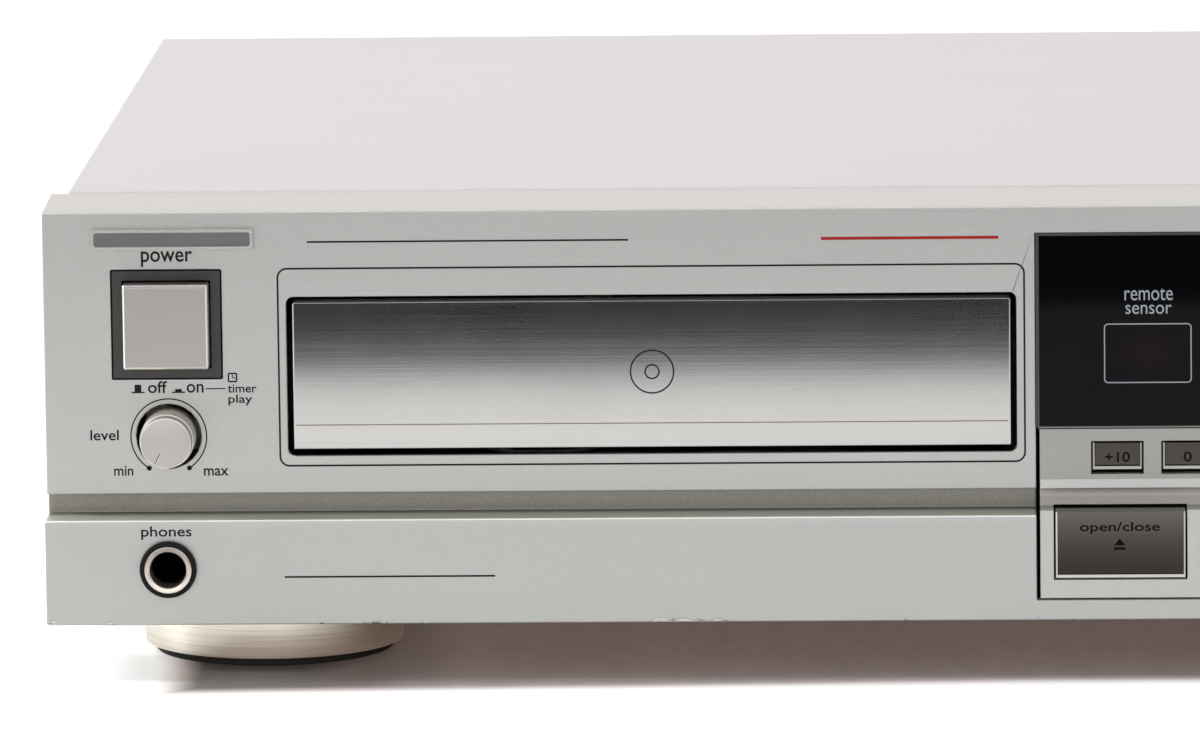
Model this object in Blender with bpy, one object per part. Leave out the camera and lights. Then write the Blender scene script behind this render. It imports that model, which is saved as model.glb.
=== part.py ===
"""Full-width compact disc player with a motor-driven disc drawer.

Every place is measured from one corner of the front panel: x from the panel's left
end, y back from the face of its lower block, z up from its lower edge.
"""
import math

import bmesh
import bpy
from mathutils import Matrix, Vector

MM = 0.001

# Clearances
SEAT_GAP = 0.3 * MM
RUN_GAP = 0.35 * MM
OVERRUN = 4.0 * MM

# Front panel
PANEL_WIDTH = 430.0 * MM
PANEL_HEIGHT = 80.4 * MM
PANEL_DEPTH = 28.0 * MM
PANEL_WALL = 3.0 * MM
LOWER_BLOCK_HEIGHT = 20.7 * MM
GROOVE_HEIGHT = 4.2 * MM
GROOVE_SETBACK = 9.8 * MM
UPPER_SETBACK = 6.3 * MM
STRIP_RISE = 0.9 * MM

# Drawer and its opening
DRAWER_LEFT = 48.6 * MM
DRAWER_WIDTH = 139.7 * MM
DRAWER_SILL = 33.5 * MM
DRAWER_HEIGHT = 28.9 * MM
DRAWER_CREASE = 4.8 * MM
DRAWER_THICKNESS = 6.1 * MM
DRAWER_PROUD = 0.4 * MM
DRAWER_LEAN = 0.38 * MM
DRAWER_EDGE_RADIUS = 1.4 * MM
DRAWER_CLEARANCE = 1.2 * MM
CREASE_STEP = 0.5 * MM

# Power button and its bezel
POWER_X = 24.05 * MM
POWER_Z = 58.35 * MM
BEZEL_SIZE = 21.1 * MM
BEZEL_DEPTH = 7.0 * MM
BUTTON_SIZE = 16.6 * MM
BUTTON_PROUD = 4.0 * MM
BUTTON_DEPTH = 9.0 * MM
BUTTON_TRAVEL = 3.0 * MM
BUTTON_CHAMFER = 0.4 * MM
PLUNGER_RADIUS = 2.0 * MM

# Headphone level knob
KNOB_X = 24.1 * MM
KNOB_Z = 36.3 * MM
KNOB_HOLE_RADIUS = 6.4 * MM
KNOB_BASE_RADIUS = 5.4 * MM
KNOB_FACE_RADIUS = 5.05 * MM
KNOB_PROUD = 9.0 * MM
KNOB_DEPTH = 11.5 * MM
KNOB_CHAMFER = 0.5 * MM
KNOB_MARK_WIDTH = 0.5 * MM
KNOB_MARK_DEPTH = 0.3 * MM
KNOB_MARK_START = 1.7 * MM
KNOB_MARK_TURN = 150.0
KNOB_SHAFT_RADIUS = 1.8 * MM
KNOB_SHAFT_LENGTH = 16.0 * MM
POT_BUSH_RADIUS = 3.4 * MM
POT_BUSH_LENGTH = 12.0 * MM
POT_SIZE = 12.0 * MM
POT_DEPTH = 8.0 * MM

# Headphone jack
PHONES_X = 24.05 * MM
PHONES_Z = 11.1 * MM
PHONES_RING_RADIUS = 5.55 * MM
PHONES_RING_THICKNESS = 1.2 * MM
PHONES_BARREL_RADIUS = 4.7 * MM
PHONES_BARREL_PROUD = 1.5 * MM
PHONES_BORE_RADIUS = 3.43 * MM
PHONES_BORE_DEPTH = 31.0 * MM
PHONES_BODY_SIZE = 12.4 * MM
PHONES_BODY_WALL = 2.0 * MM

# Boards behind the panel
BOARD_THICKNESS = 1.6 * MM
SIDE_BOARD_Y = 36.4 * MM
SIDE_BOARD_LEFT = 6.5 * MM
SIDE_BOARD_FRAME_GAP = 3.45 * MM
SIDE_BOARD_HEIGHT = 70.0 * MM
SWITCH_SIZE = 14.0 * MM
SWITCH_DEPTH = 13.0 * MM
CONTROL_BOARD_Y = 30.0 * MM
CONTROL_BOARD_MARGIN = 2.2 * MM
CONTROL_BOARD_HEIGHT = 72.0 * MM

# Nameplate bar
NAMEPLATE_LEFT = 9.6 * MM
NAMEPLATE_WIDTH = 31.6 * MM
NAMEPLATE_BOTTOM = 73.2 * MM
NAMEPLATE_HEIGHT = 3.9 * MM
NAMEPLATE_THICKNESS = 0.7 * MM

# Control panel and display window
CONTROL_DRAWER_GAP = 4.9 * MM
CONTROL_RIGHT_MARGIN = 12.0 * MM
CONTROL_BOTTOM = 4.0 * MM
CONTROL_SIDE_GAP = 0.7 * MM
CONTROL_FACE_SETBACK = 0.2 * MM
CONTROL_LOWER_TOP = 21.6 * MM
CONTROL_LEDGE = 5.5 * MM
CONTROL_CHAMFER_FOOT = 24.8 * MM
CONTROL_CHAMFER_TOP = 26.6 * MM
CONTROL_CHAMFER_DEPTH = 1.2 * MM
CONTROL_TOP = 36.7 * MM
CONTROL_WALL = 2.5 * MM
CONTROL_FLANGE = 9.0 * MM
WINDOW_TOP = 75.2 * MM
WINDOW_THICKNESS = 3.0 * MM
WINDOW_SIDE_GAP = 0.4 * MM
DISPLAY_LEFT_MARGIN = 52.8 * MM
DISPLAY_RIGHT_MARGIN = 40.0 * MM
DISPLAY_BOTTOM = 42.0 * MM
DISPLAY_HEIGHT = 26.0 * MM
DISPLAY_DEPTH = 12.0 * MM

# Small keys, one row
SMALL_KEY_NAMES = ("key_plus_10", "key_0", "key_1", "key_2", "key_3", "key_4",
                   "key_5", "key_6", "key_7", "key_8", "key_9")
SMALL_KEY_ROW_MARGIN = 10.7 * MM
SMALL_KEY_ROW_END_SHARE = 0.7
SMALL_KEY_SPACING = 3.45 * MM
SMALL_KEY_HOLE_BOTTOM = 27.7 * MM
SMALL_KEY_HOLE_HEIGHT = 6.5 * MM
SMALL_KEY_DROP_GAP = 0.9 * MM
SMALL_KEY_PROUD = 0.2 * MM

# Large keys, one row
LARGE_KEY_SHARES = (("key_open_close", 0.151), ("key_stop", 0.151), ("key_pause", 0.151),
                    ("key_play", 0.245), ("key_skip", 0.302))
LARGE_KEY_ROW_MARGIN = 3.3 * MM
LARGE_KEY_ROW_END_MARGIN = 15.8 * MM
LARGE_KEY_SPACING = 8.5 * MM
LARGE_KEY_HOLE_BOTTOM = 7.9 * MM
LARGE_KEY_HOLE_HEIGHT = 13.9 * MM
LARGE_KEY_DROP_GAP = 0.5 * MM
LARGE_KEY_PROUD = 1.1 * MM
LARGE_KEY_SIDE_GAP = 0.4 * MM

# Shape shared by all keys
KEY_SIDE_BEVEL = 0.45 * MM
KEY_FOOT_BEVEL = 0.95 * MM
KEY_BEVEL_DEPTH = 0.6 * MM
KEY_CAP_DEPTH = 5.0 * MM
KEY_STEM_SIZE = 3.0 * MM
KEY_TRAVEL = 1.0 * MM

# Feet
FRONT_FOOT_X = 42.2 * MM
FRONT_FOOT_Y = 37.0 * MM
FOOT_RADIUS = 25.6 * MM
FOOT_HEIGHT = 10.3 * MM
FOOT_ROUND = 0.4 * MM
FOOT_ROUND_STEP = 0.15 * MM
PAD_RADIUS = 22.6 * MM
PAD_SHOW = 1.3 * MM
PAD_THICKNESS = 3.2 * MM
FOOT_WALL = 2.2 * MM
REAR_FOOT_Y = 240.0 * MM
REAR_FOOT_RADIUS = 20.0 * MM
REAR_FOOT_ROUND = 1.5 * MM

# Metal case
COVER_INSET = 3.3 * MM
COVER_SHEET = 1.0 * MM
COVER_STEP = 0.3 * MM
COVER_REAR = 276.0 * MM
COVER_SIDE_FOOT = 1.0 * MM
CHASSIS_SHEET = 1.2 * MM
CHASSIS_FLANGE_HEIGHT = 14.0 * MM
REAR_SHEET = 1.2 * MM
VENT_SLOT_WIDTH = 3.0 * MM
VENT_SLOT_LENGTH = 34.0 * MM
VENT_SLOT_PITCH = 8.0 * MM
VENT_SLOT_COUNT = 7
VENT_LEFT = 86.0 * MM
VENT_Y = 210.0 * MM
REAR_VENT_LEFT = 96.0 * MM
REAR_VENT_BOTTOM = 28.0 * MM

# Rear connectors
JACK_RIGHT_MARGIN = 79.4 * MM
JACK_PITCH = 16.0 * MM
JACK_RADIUS = 4.2 * MM
JACK_PROUD = 6.5 * MM
JACK_BODY_WIDTH = 32.0 * MM
JACK_BODY_HEIGHT = 16.0 * MM
JACK_BODY_DEPTH = 14.0 * MM
OPTICAL_JACK_SPACING = 46.0 * MM
OPTICAL_WIDTH = 11.0 * MM
OPTICAL_HEIGHT = 11.0 * MM
OPTICAL_DEPTH = 14.0 * MM
OPTICAL_PROUD = 1.0 * MM
OPTICAL_PORT = 5.0 * MM
OPTICAL_PORT_DEPTH = 8.0 * MM
GLAND_X = 45.0 * MM
GLAND_Z = 30.0 * MM
GLAND_RADIUS = 6.5 * MM
GLAND_FLANGE_RADIUS = 8.5 * MM
GLAND_FLANGE = 3.0 * MM
GLAND_LENGTH = 10.0 * MM
GLAND_BORE_RADIUS = 3.5 * MM

# Main board and transformer
MAIN_BOARD_FRAME_GAP = 13.05 * MM
MAIN_BOARD_RIGHT_GAP = 9.4 * MM
MAIN_BOARD_FRONT = 62.0 * MM
MAIN_BOARD_DEPTH = 200.0 * MM
STANDOFF_HEIGHT = 8.0 * MM
STANDOFF_RADIUS = 3.5 * MM
STANDOFF_INSET = 12.0 * MM
CAPACITOR_RADIUS = 9.0 * MM
CAPACITOR_HEIGHT = 28.0 * MM
CAPACITOR_FIRST = 28.0 * MM
CAPACITOR_Y = 226.0 * MM
CAPACITOR_PITCH = 24.0 * MM
CAPACITOR_COUNT = 3
CHIP_HEIGHT = 4.0 * MM
CHIP_SIZE = 22.0 * MM
CHIP_Y = 120.0 * MM
CHIP_PITCH = 44.0 * MM
CHIP_COUNT = 3
HEAT_SINK_FIRST = 22.0 * MM
HEAT_SINK_Y = 150.0 * MM
HEAT_SINK_WIDTH = 6.0 * MM
HEAT_SINK_LENGTH = 46.0 * MM
HEAT_SINK_HEIGHT = 34.0 * MM
TRANSFORMER_X = 47.0 * MM
TRANSFORMER_Y = 234.0 * MM
CORE_WIDTH = 56.0 * MM
CORE_DEPTH = 22.0 * MM
CORE_HEIGHT = 46.0 * MM
COIL_WIDTH = 34.0 * MM
COIL_DEPTH = 42.0 * MM
COIL_HEIGHT = 26.0 * MM

# Disc tray
TRAY_HALF_WIDTH = 68.15 * MM
TRAY_FRONT_GAP = 0.3 * MM
TRAY_LENGTH = 176.0 * MM
TRAY_BOTTOM = 42.7 * MM
TRAY_FLOOR = 3.2 * MM
TRAY_RIM = 5.5 * MM
DISC_SEAT_RADIUS = 61.0 * MM
SMALL_DISC_RADIUS = 40.7 * MM
SMALL_DISC_STEP = 0.8 * MM
DISC_CENTRE_Y = 78.0 * MM
SLOT_HALF_WIDTH = 17.0 * MM
SLOT_FRONT = 19.0 * MM
RACK_LEFT = 6.0 * MM
RACK_BACK = 4.6 * MM
RACK_DEPTH = 7.3 * MM
RACK_END_MARGIN = 2.0 * MM

# Loader frame
FRAME_WALL = 4.0 * MM
FRAME_FRONT = 29.0 * MM
FRAME_LENGTH = 175.0 * MM
RAIL_WIDTH = 5.2 * MM
RAIL_HEIGHT = 3.0 * MM
SHELF_TOP = 28.0 * MM
SHELF_THICKNESS = 3.5 * MM
SHELF_DEPTH = 29.0 * MM
REAR_BEAM_DEPTH = 10.0 * MM
REAR_BEAM_TOP = 20.0 * MM
REAR_BEAM_HEIGHT = 10.0 * MM
BRIDGE_CLEARANCE = 4.0 * MM
BRIDGE_THICKNESS = 2.0 * MM
BRIDGE_WIDTH = 34.0 * MM
BRIDGE_RIB_HEIGHT = 3.0 * MM
BRIDGE_RIB_WIDTH = 2.0 * MM

# Loading gears, motor and belt
GEAR_Y = 44.0 * MM
RACK_MODULE = 1.5 * MM
PINION_TEETH = 16
TRAIN_MODULE = 1.0 * MM
BIG_GEAR_TEETH = 30
SMALL_GEAR_TEETH = 12
POST_RADIUS = 2.0 * MM
BIG_GEAR_BOTTOM = 4.2 * MM
BIG_GEAR_THICKNESS = 2.6 * MM
GEAR_HUB_RADIUS = 3.6 * MM
PULLEY_RADIUS = 12.5 * MM
PULLEY_THICKNESS = 3.0 * MM
PULLEY_FLANGE = 0.9 * MM
MOTOR_DISTANCE = 38.0 * MM
MOTOR_PULLEY_RADIUS = 3.6 * MM
MOTOR_RADIUS = 10.5 * MM
MOTOR_HEIGHT = 20.0 * MM
MOTOR_SHAFT_RADIUS = 1.0 * MM
MOTOR_SHAFT_DEPTH = 4.0 * MM
BELT_SIZE = 1.2 * MM

# Traverse with spindle and pickup
DECK_FRONT = 61.5 * MM
DECK_REAR = 180.0 * MM
DECK_LEFT_REACH = 36.0 * MM
DECK_RIGHT_REACH = 46.0 * MM
DECK_BOTTOM = 23.4 * MM
DECK_THICKNESS = 2.6 * MM
DECK_WINDOW_HALF_WIDTH = 11.0 * MM
DECK_WINDOW_FRONT = 98.0 * MM
DECK_WINDOW_REAR = 170.0 * MM
PIVOT_Y = 186.0 * MM
PIVOT_RADIUS = 2.0 * MM
PIVOT_EAR_WIDTH = 5.0 * MM
PIVOT_EAR_ROUND = 4.2 * MM
PIVOT_PIN_LENGTH = 5.0 * MM
BRACKET_WIDTH = 4.5 * MM
SPINDLE_MOTOR_RADIUS = 11.5 * MM
SPINDLE_MOTOR_HEIGHT = 10.5 * MM
SPINDLE_SHAFT_RADIUS = 1.2 * MM
SPINDLE_COLLAR_RADIUS = 3.2 * MM
TURNTABLE_RADIUS = 14.5 * MM
TURNTABLE_TOP = 47.4 * MM
TURNTABLE_THICKNESS = 3.0 * MM
TURNTABLE_HUB_RADIUS = 7.3 * MM
TURNTABLE_HUB_HEIGHT = 2.0 * MM
TURNTABLE_HUB_TAPER = 1.6 * MM
ROD_OFFSET = 15.5 * MM
ROD_RADIUS = 1.5 * MM
ROD_HEIGHT = 5.0 * MM
ROD_FRONT = 92.5 * MM
ROD_REAR = 174.0 * MM
ROD_BLOCK = 4.0 * MM
SLED_FRONT = 98.0 * MM
SLED_LENGTH = 30.0 * MM
SLED_LEFT_REACH = 20.0 * MM
SLED_RIGHT_REACH = 22.0 * MM
SLED_RAISE = 1.2 * MM
SLED_HEIGHT = 8.4 * MM
SLED_SHOE_WIDTH = 4.0 * MM
LENS_RADIUS_FROM_SPINDLE = 25.0 * MM
TURRET_RADIUS = 6.5 * MM
TURRET_TOP = 44.6 * MM
LENS_RADIUS = 2.6 * MM
LENS_RIM = 0.8 * MM
FEED_MODULE = 0.8 * MM
FEED_TEETH = 20
FEED_Y = 128.0 * MM
FEED_THICKNESS = 3.0 * MM
FEED_POST_RADIUS = 1.5 * MM
FEED_RACK_FRONT = 88.0 * MM
FEED_RACK_LENGTH = 45.0 * MM
FEED_RACK_BACK = 2.0 * MM
FEED_RACK_HEIGHT = 3.0 * MM
FEED_RACK_BOTTOM = 4.0 * MM

# Clamp puck
PUCK_RADIUS = 14.0 * MM
PUCK_NECK_RADIUS = 10.4 * MM
PUCK_LIP = 2.5 * MM
PUCK_RECESS_RADIUS = 8.2 * MM
PUCK_FLANGE_RADIUS = 15.0 * MM
PUCK_FLANGE_THICKNESS = 2.0 * MM
PUCK_LIFT = 1.3 * MM
BRIDGE_HOLE_GAP = 0.6 * MM

# Gear teeth, as shares of the module and of the tooth pitch
ADDENDUM_SHARE = 0.85
DEDENDUM_SHARE = 1.2
TIP_WIDTH_SHARE = 0.22
ROOT_WIDTH_SHARE = 0.62

# Places that follow from the sizes above
UPPER_FACE_FOOT = LOWER_BLOCK_HEIGHT + GROOVE_HEIGHT
STRIP_REAR_Z = PANEL_HEIGHT + STRIP_RISE
COVER_TOP = STRIP_REAR_Z + COVER_STEP
CASE_LEFT = COVER_INSET + COVER_SHEET + SEAT_GAP
CASE_RIGHT = PANEL_WIDTH - CASE_LEFT
CASE_FRONT = PANEL_DEPTH + SEAT_GAP
REAR_PANEL_Y = COVER_REAR - REAR_SHEET
FRONT_MOST = UPPER_SETBACK - KNOB_PROUD
REAR_MOST = COVER_REAR + JACK_PROUD
PART_MIDDLE_Y = (FRONT_MOST + REAR_MOST) / 2
PANEL_LIFT = FOOT_HEIGHT + SEAT_GAP
CONTROL_LEFT = DRAWER_LEFT + DRAWER_WIDTH + CONTROL_DRAWER_GAP
CONTROL_RIGHT = PANEL_WIDTH - CONTROL_RIGHT_MARGIN
CONTROL_WIDTH = CONTROL_RIGHT - CONTROL_LEFT
SMALL_KEY_FIRST_LEFT = CONTROL_LEFT + SMALL_KEY_ROW_MARGIN
SMALL_KEY_ROW_WIDTH = SMALL_KEY_ROW_END_SHARE * CONTROL_WIDTH - SMALL_KEY_ROW_MARGIN
SMALL_KEY_PITCH = (SMALL_KEY_ROW_WIDTH + SMALL_KEY_SPACING) / len(SMALL_KEY_NAMES)
SMALL_KEY_HOLE_WIDTH = SMALL_KEY_PITCH - SMALL_KEY_SPACING
LARGE_KEY_FIRST_LEFT = CONTROL_LEFT + LARGE_KEY_ROW_MARGIN
LARGE_KEY_SPACE = LARGE_KEY_SPACING * (len(LARGE_KEY_SHARES) - 1)
LARGE_KEY_ROW_WIDTH = CONTROL_WIDTH - LARGE_KEY_ROW_MARGIN - LARGE_KEY_ROW_END_MARGIN
JACK_X = CASE_RIGHT - JACK_RIGHT_MARGIN
OPTICAL_X = JACK_X - OPTICAL_JACK_SPACING
MECH_X = DRAWER_LEFT + DRAWER_WIDTH / 2
DRAWER_FACE_Y = UPPER_SETBACK - DRAWER_PROUD
TRAY_FRONT = DRAWER_FACE_Y + DRAWER_THICKNESS + TRAY_FRONT_GAP
TRAY_REAR = TRAY_FRONT + TRAY_LENGTH
DISC_FLOOR = TRAY_BOTTOM + TRAY_FLOOR
TRAY_TOP = DISC_FLOOR + TRAY_RIM
WALL_INNER = TRAY_HALF_WIDTH + RUN_GAP
WALL_OUTER = WALL_INNER + FRAME_WALL
SIDE_BOARD_RIGHT = MECH_X - WALL_OUTER - SIDE_BOARD_FRAME_GAP
MAIN_BOARD_LEFT = MECH_X + WALL_OUTER + MAIN_BOARD_FRAME_GAP
MAIN_BOARD_RIGHT = CASE_RIGHT - MAIN_BOARD_RIGHT_GAP
WALL_FOOT = CHASSIS_SHEET + SEAT_GAP
WALL_TOP = TRAY_TOP + BRIDGE_CLEARANCE
BRIDGE_BOTTOM = WALL_TOP + SEAT_GAP
BRIDGE_TOP = BRIDGE_BOTTOM + BRIDGE_THICKNESS
RACK_PITCH_X = MECH_X - TRAY_HALF_WIDTH + RACK_LEFT + RACK_BACK + DEDENDUM_SHARE * RACK_MODULE
PINION_RADIUS = PINION_TEETH * RACK_MODULE / 2
TRAY_GEAR_X = RACK_PITCH_X + PINION_RADIUS
TRAIN_DISTANCE = (BIG_GEAR_TEETH + SMALL_GEAR_TEETH) * TRAIN_MODULE / 2
PULLEY_X = TRAY_GEAR_X + TRAIN_DISTANCE
MOTOR_X = PULLEY_X + MOTOR_DISTANCE
GEAR_TOP = TRAY_BOTTOM - BIG_GEAR_THICKNESS / 2
BIG_GEAR_Z = SHELF_TOP + BIG_GEAR_BOTTOM
PINION_Z = BIG_GEAR_Z + BIG_GEAR_THICKNESS
DECK_TOP = DECK_BOTTOM + DECK_THICKNESS
ROD_X = MECH_X - ROD_OFFSET
ROD_Z = DECK_TOP + ROD_HEIGHT
SLED_BOTTOM = DECK_TOP + SLED_RAISE
SLED_TOP = SLED_BOTTOM + SLED_HEIGHT
FEED_PITCH_X = MECH_X + SLED_RIGHT_REACH + FEED_RACK_BACK + DEDENDUM_SHARE * FEED_MODULE
FEED_RADIUS = FEED_TEETH * FEED_MODULE / 2
FEED_X = FEED_PITCH_X + FEED_RADIUS
FEED_RACK_Z = DECK_TOP + FEED_RACK_BOTTOM
PIVOT_Z = DECK_BOTTOM + DECK_THICKNESS / 2
MAIN_BOARD_Z = CHASSIS_SHEET + STANDOFF_HEIGHT + SEAT_GAP
MAIN_BOARD_TOP = MAIN_BOARD_Z + BOARD_THICKNESS
CONNECTOR_Z = MAIN_BOARD_TOP + SEAT_GAP
CONNECTOR_REAR = REAR_PANEL_Y - SEAT_GAP

# Counts
ROUND_SEGMENTS = 24
SMALL_ROUND_SEGMENTS = 12
WIDE_ROUND_SEGMENTS = 48
CORNER_SEGMENTS = 4
SHARP_ANGLE = math.radians(35.0)

AXES = {"X": (1, 2, 0), "Y": (0, 2, 1), "Z": (0, 1, 2)}


def clear_scene():
    for old in list(bpy.data.objects):
        bpy.data.objects.remove(old, do_unlink=True)


def finish(name, *, color, roughness, metallic=0.0):
    """Principled material with one plain colour."""
    material = bpy.data.materials.get(name)
    if material is None:
        material = bpy.data.materials.new(name)
        material.use_nodes = True
        shader = material.node_tree.nodes["Principled BSDF"]
        shader.inputs["Base Color"].default_value = (*color, 1.0)
        shader.inputs["Roughness"].default_value = roughness
        shader.inputs["Metallic"].default_value = metallic
    return material


def satin_silver():
    return finish("satin_silver", color=(0.50, 0.51, 0.49), roughness=0.42, metallic=0.6)


def warm_silver():
    return finish("warm_silver", color=(0.46, 0.43, 0.40), roughness=0.35, metallic=0.8)


def painted_cover():
    return finish("painted_cover", color=(0.70, 0.68, 0.69), roughness=0.5, metallic=0.2)


def black_plastic():
    return finish("black_plastic", color=(0.02, 0.02, 0.02), roughness=0.5)


def grey_plastic():
    return finish("grey_plastic", color=(0.08, 0.08, 0.085), roughness=0.55)


def key_metal():
    return finish("key_metal", color=(0.10, 0.095, 0.09), roughness=0.35, metallic=0.7)


def bright_steel():
    return finish("bright_steel", color=(0.65, 0.65, 0.66), roughness=0.25, metallic=1.0)


def plated_steel():
    return finish("plated_steel", color=(0.55, 0.55, 0.53), roughness=0.4, metallic=0.9)


def white_plastic():
    return finish("white_plastic", color=(0.78, 0.77, 0.72), roughness=0.5)


def board_green():
    return finish("board_green", color=(0.10, 0.22, 0.08), roughness=0.6)


def rubber():
    return finish("rubber", color=(0.015, 0.015, 0.015), roughness=0.85)


def smoked_glass():
    return finish("smoked_glass", color=(0.004, 0.004, 0.006), roughness=0.05)


def champagne_metal():
    return finish("champagne_metal", color=(0.48, 0.42, 0.34), roughness=0.3, metallic=0.9)


def iron():
    return finish("iron", color=(0.20, 0.19, 0.18), roughness=0.6, metallic=0.7)


def shape_from(faces, verts):
    """Closed bmesh with its faces pointing out."""
    shape = bmesh.new()
    made = [shape.verts.new(v) for v in verts]
    for face in faces:
        shape.faces.new([made[i] for i in face])
    bmesh.ops.recalc_face_normals(shape, faces=shape.faces[:])
    return shape


def box(x, y, z):
    """Block between (low, high) pairs on each axis."""
    verts = [(a, b, c) for a in x for b in y for c in z]
    faces = [(0, 1, 3, 2), (4, 6, 7, 5), (0, 4, 5, 1), (2, 3, 7, 6), (0, 2, 6, 4), (1, 5, 7, 3)]
    return shape_from(faces, verts)


def prism(outline, axis, low, high):
    """Outline in the two axes across `axis`, pulled from low to high along it."""
    first, second, along = AXES[axis]
    verts = []
    for end in (low, high):
        for a, b in outline:
            place = [0.0, 0.0, 0.0]
            place[first], place[second], place[along] = a, b, end
            verts.append(place)
    count = len(outline)
    faces = [tuple(range(count)), tuple(range(count, 2 * count))]
    for i in range(count):
        j = (i + 1) % count
        faces.append((i, j, j + count, i + count))
    return shape_from(faces, verts)


def turned(profile, axis, centre, segments=ROUND_SEGMENTS, ring=False):
    """Profile of (radius, height) turned about `axis` through `centre`."""
    first, second, along = AXES[axis]
    verts = []
    rows = []
    for radius, height in profile:
        row = []
        steps = 1 if radius == 0 else segments
        for k in range(steps):
            angle = 2 * math.pi * k / segments
            place = [0.0, 0.0, 0.0]
            place[first] = centre[0] + radius * math.cos(angle)
            place[second] = centre[1] + radius * math.sin(angle)
            place[along] = height
            row.append(len(verts))
            verts.append(place)
        rows.append(row)
    faces = []
    pairs = list(zip(rows, rows[1:]))
    if ring:
        pairs.append((rows[-1], rows[0]))
    for low, high in pairs:
        for k in range(segments):
            n = (k + 1) % segments
            if len(low) == 1:
                faces.append((low[0], high[n], high[k]))
            elif len(high) == 1:
                faces.append((low[k], low[n], high[0]))
            else:
                faces.append((low[k], low[n], high[n], high[k]))
    return shape_from(faces, verts)


def rod(axis, centre, radius, low, high, segments=ROUND_SEGMENTS):
    return turned([(0, low), (radius, low), (radius, high), (0, high)], axis, centre, segments)


def tube(axis, centre, bore, radius, low, high, segments=ROUND_SEGMENTS):
    profile = [(bore, low), (radius, low), (radius, high), (bore, high)]
    return turned(profile, axis, centre, segments, ring=True)


def rounded_rectangle(left, right, bottom, top, radius):
    points = []
    corners = ((right - radius, top - radius, 0), (left + radius, top - radius, 1),
               (left + radius, bottom + radius, 2), (right - radius, bottom + radius, 3))
    for x, z, quarter in corners:
        for k in range(CORNER_SEGMENTS + 1):
            angle = math.pi / 2 * (quarter + k / CORNER_SEGMENTS)
            points.append((x + radius * math.cos(angle), z + radius * math.sin(angle)))
    return points


def gear_outline(centre, teeth, module, turn):
    """Straight-sided teeth, one of them centred at the angle `turn`."""
    pitch_radius = teeth * module / 2
    tip = pitch_radius + ADDENDUM_SHARE * module
    root = pitch_radius - DEDENDUM_SHARE * module
    step = 2 * math.pi / teeth
    points = []
    for tooth in range(teeth):
        middle = turn + tooth * step
        spans = ((root, -ROOT_WIDTH_SHARE), (tip, -TIP_WIDTH_SHARE),
                 (tip, TIP_WIDTH_SHARE), (root, ROOT_WIDTH_SHARE))
        for radius, share in spans:
            angle = middle + share * step / 2
            points.append((centre[0] + radius * math.cos(angle), centre[1] + radius * math.sin(angle)))
    return points


def rack_outline(back_x, pitch_x, gear_y, module, front, rear):
    """Rack along y whose teeth point to +x, with a gap at gear_y."""
    pitch = math.pi * module
    tip = pitch_x + ADDENDUM_SHARE * module
    root = pitch_x - DEDENDUM_SHARE * module
    points = [(back_x, rear), (back_x, front), (root, front)]
    first = math.ceil((front - gear_y) / pitch)
    last = math.floor((rear - gear_y) / pitch)
    for tooth in range(first, last):
        middle = gear_y + (tooth + 1 / 2) * pitch
        spans = ((root, -ROOT_WIDTH_SHARE), (tip, -TIP_WIDTH_SHARE),
                 (tip, TIP_WIDTH_SHARE), (root, ROOT_WIDTH_SHARE))
        for x, share in spans:
            points.append((x, middle + share * pitch / 2))
    points.append((root, rear))
    return points


def mesh_object(name, shape, origin, parent):
    for vert in shape.verts:
        vert.co -= Vector(origin)
    mesh = bpy.data.meshes.new(name)
    shape.to_mesh(mesh)
    shape.free()
    thing = bpy.data.objects.new(name, mesh)
    thing.location = origin
    thing.parent = parent
    bpy.context.scene.collection.objects.link(thing)
    return thing


class Model:
    """Collects the pieces, all placed from the panel's corner."""

    def __init__(self):
        self.corner = bpy.data.objects.new("panel_corner", None)
        self.corner.location = (-PANEL_WIDTH / 2, -PART_MIDDLE_Y, PANEL_LIFT)
        bpy.context.scene.collection.objects.link(self.corner)

    def piece(self, name, shape, material, add=(), cut=(), origin=(0, 0, 0), smooth=False):
        """One named piece: a first shape, what is joined to it and what is cut away."""
        thing = mesh_object(name, shape, origin, self.corner)
        thing.data.materials.append(material)
        for operation, shapes in (("UNION", add), ("DIFFERENCE", cut)):
            for number, extra in enumerate(shapes):
                tool = mesh_object(f"{name}_{operation.lower()}_{number}", extra, origin, self.corner)
                tool.hide_render = True
                tool.display_type = "WIRE"
                change = thing.modifiers.new(tool.name, "BOOLEAN")
                change.operation = operation
                change.solver = "EXACT"
                change.object = tool
        if smooth:
            thing.data.shade_smooth()
            thing.data.set_sharp_from_angle(angle=SHARP_ANGLE)
        return thing


def around(middle, size):
    return (middle - size / 2, middle + size / 2)


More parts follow.
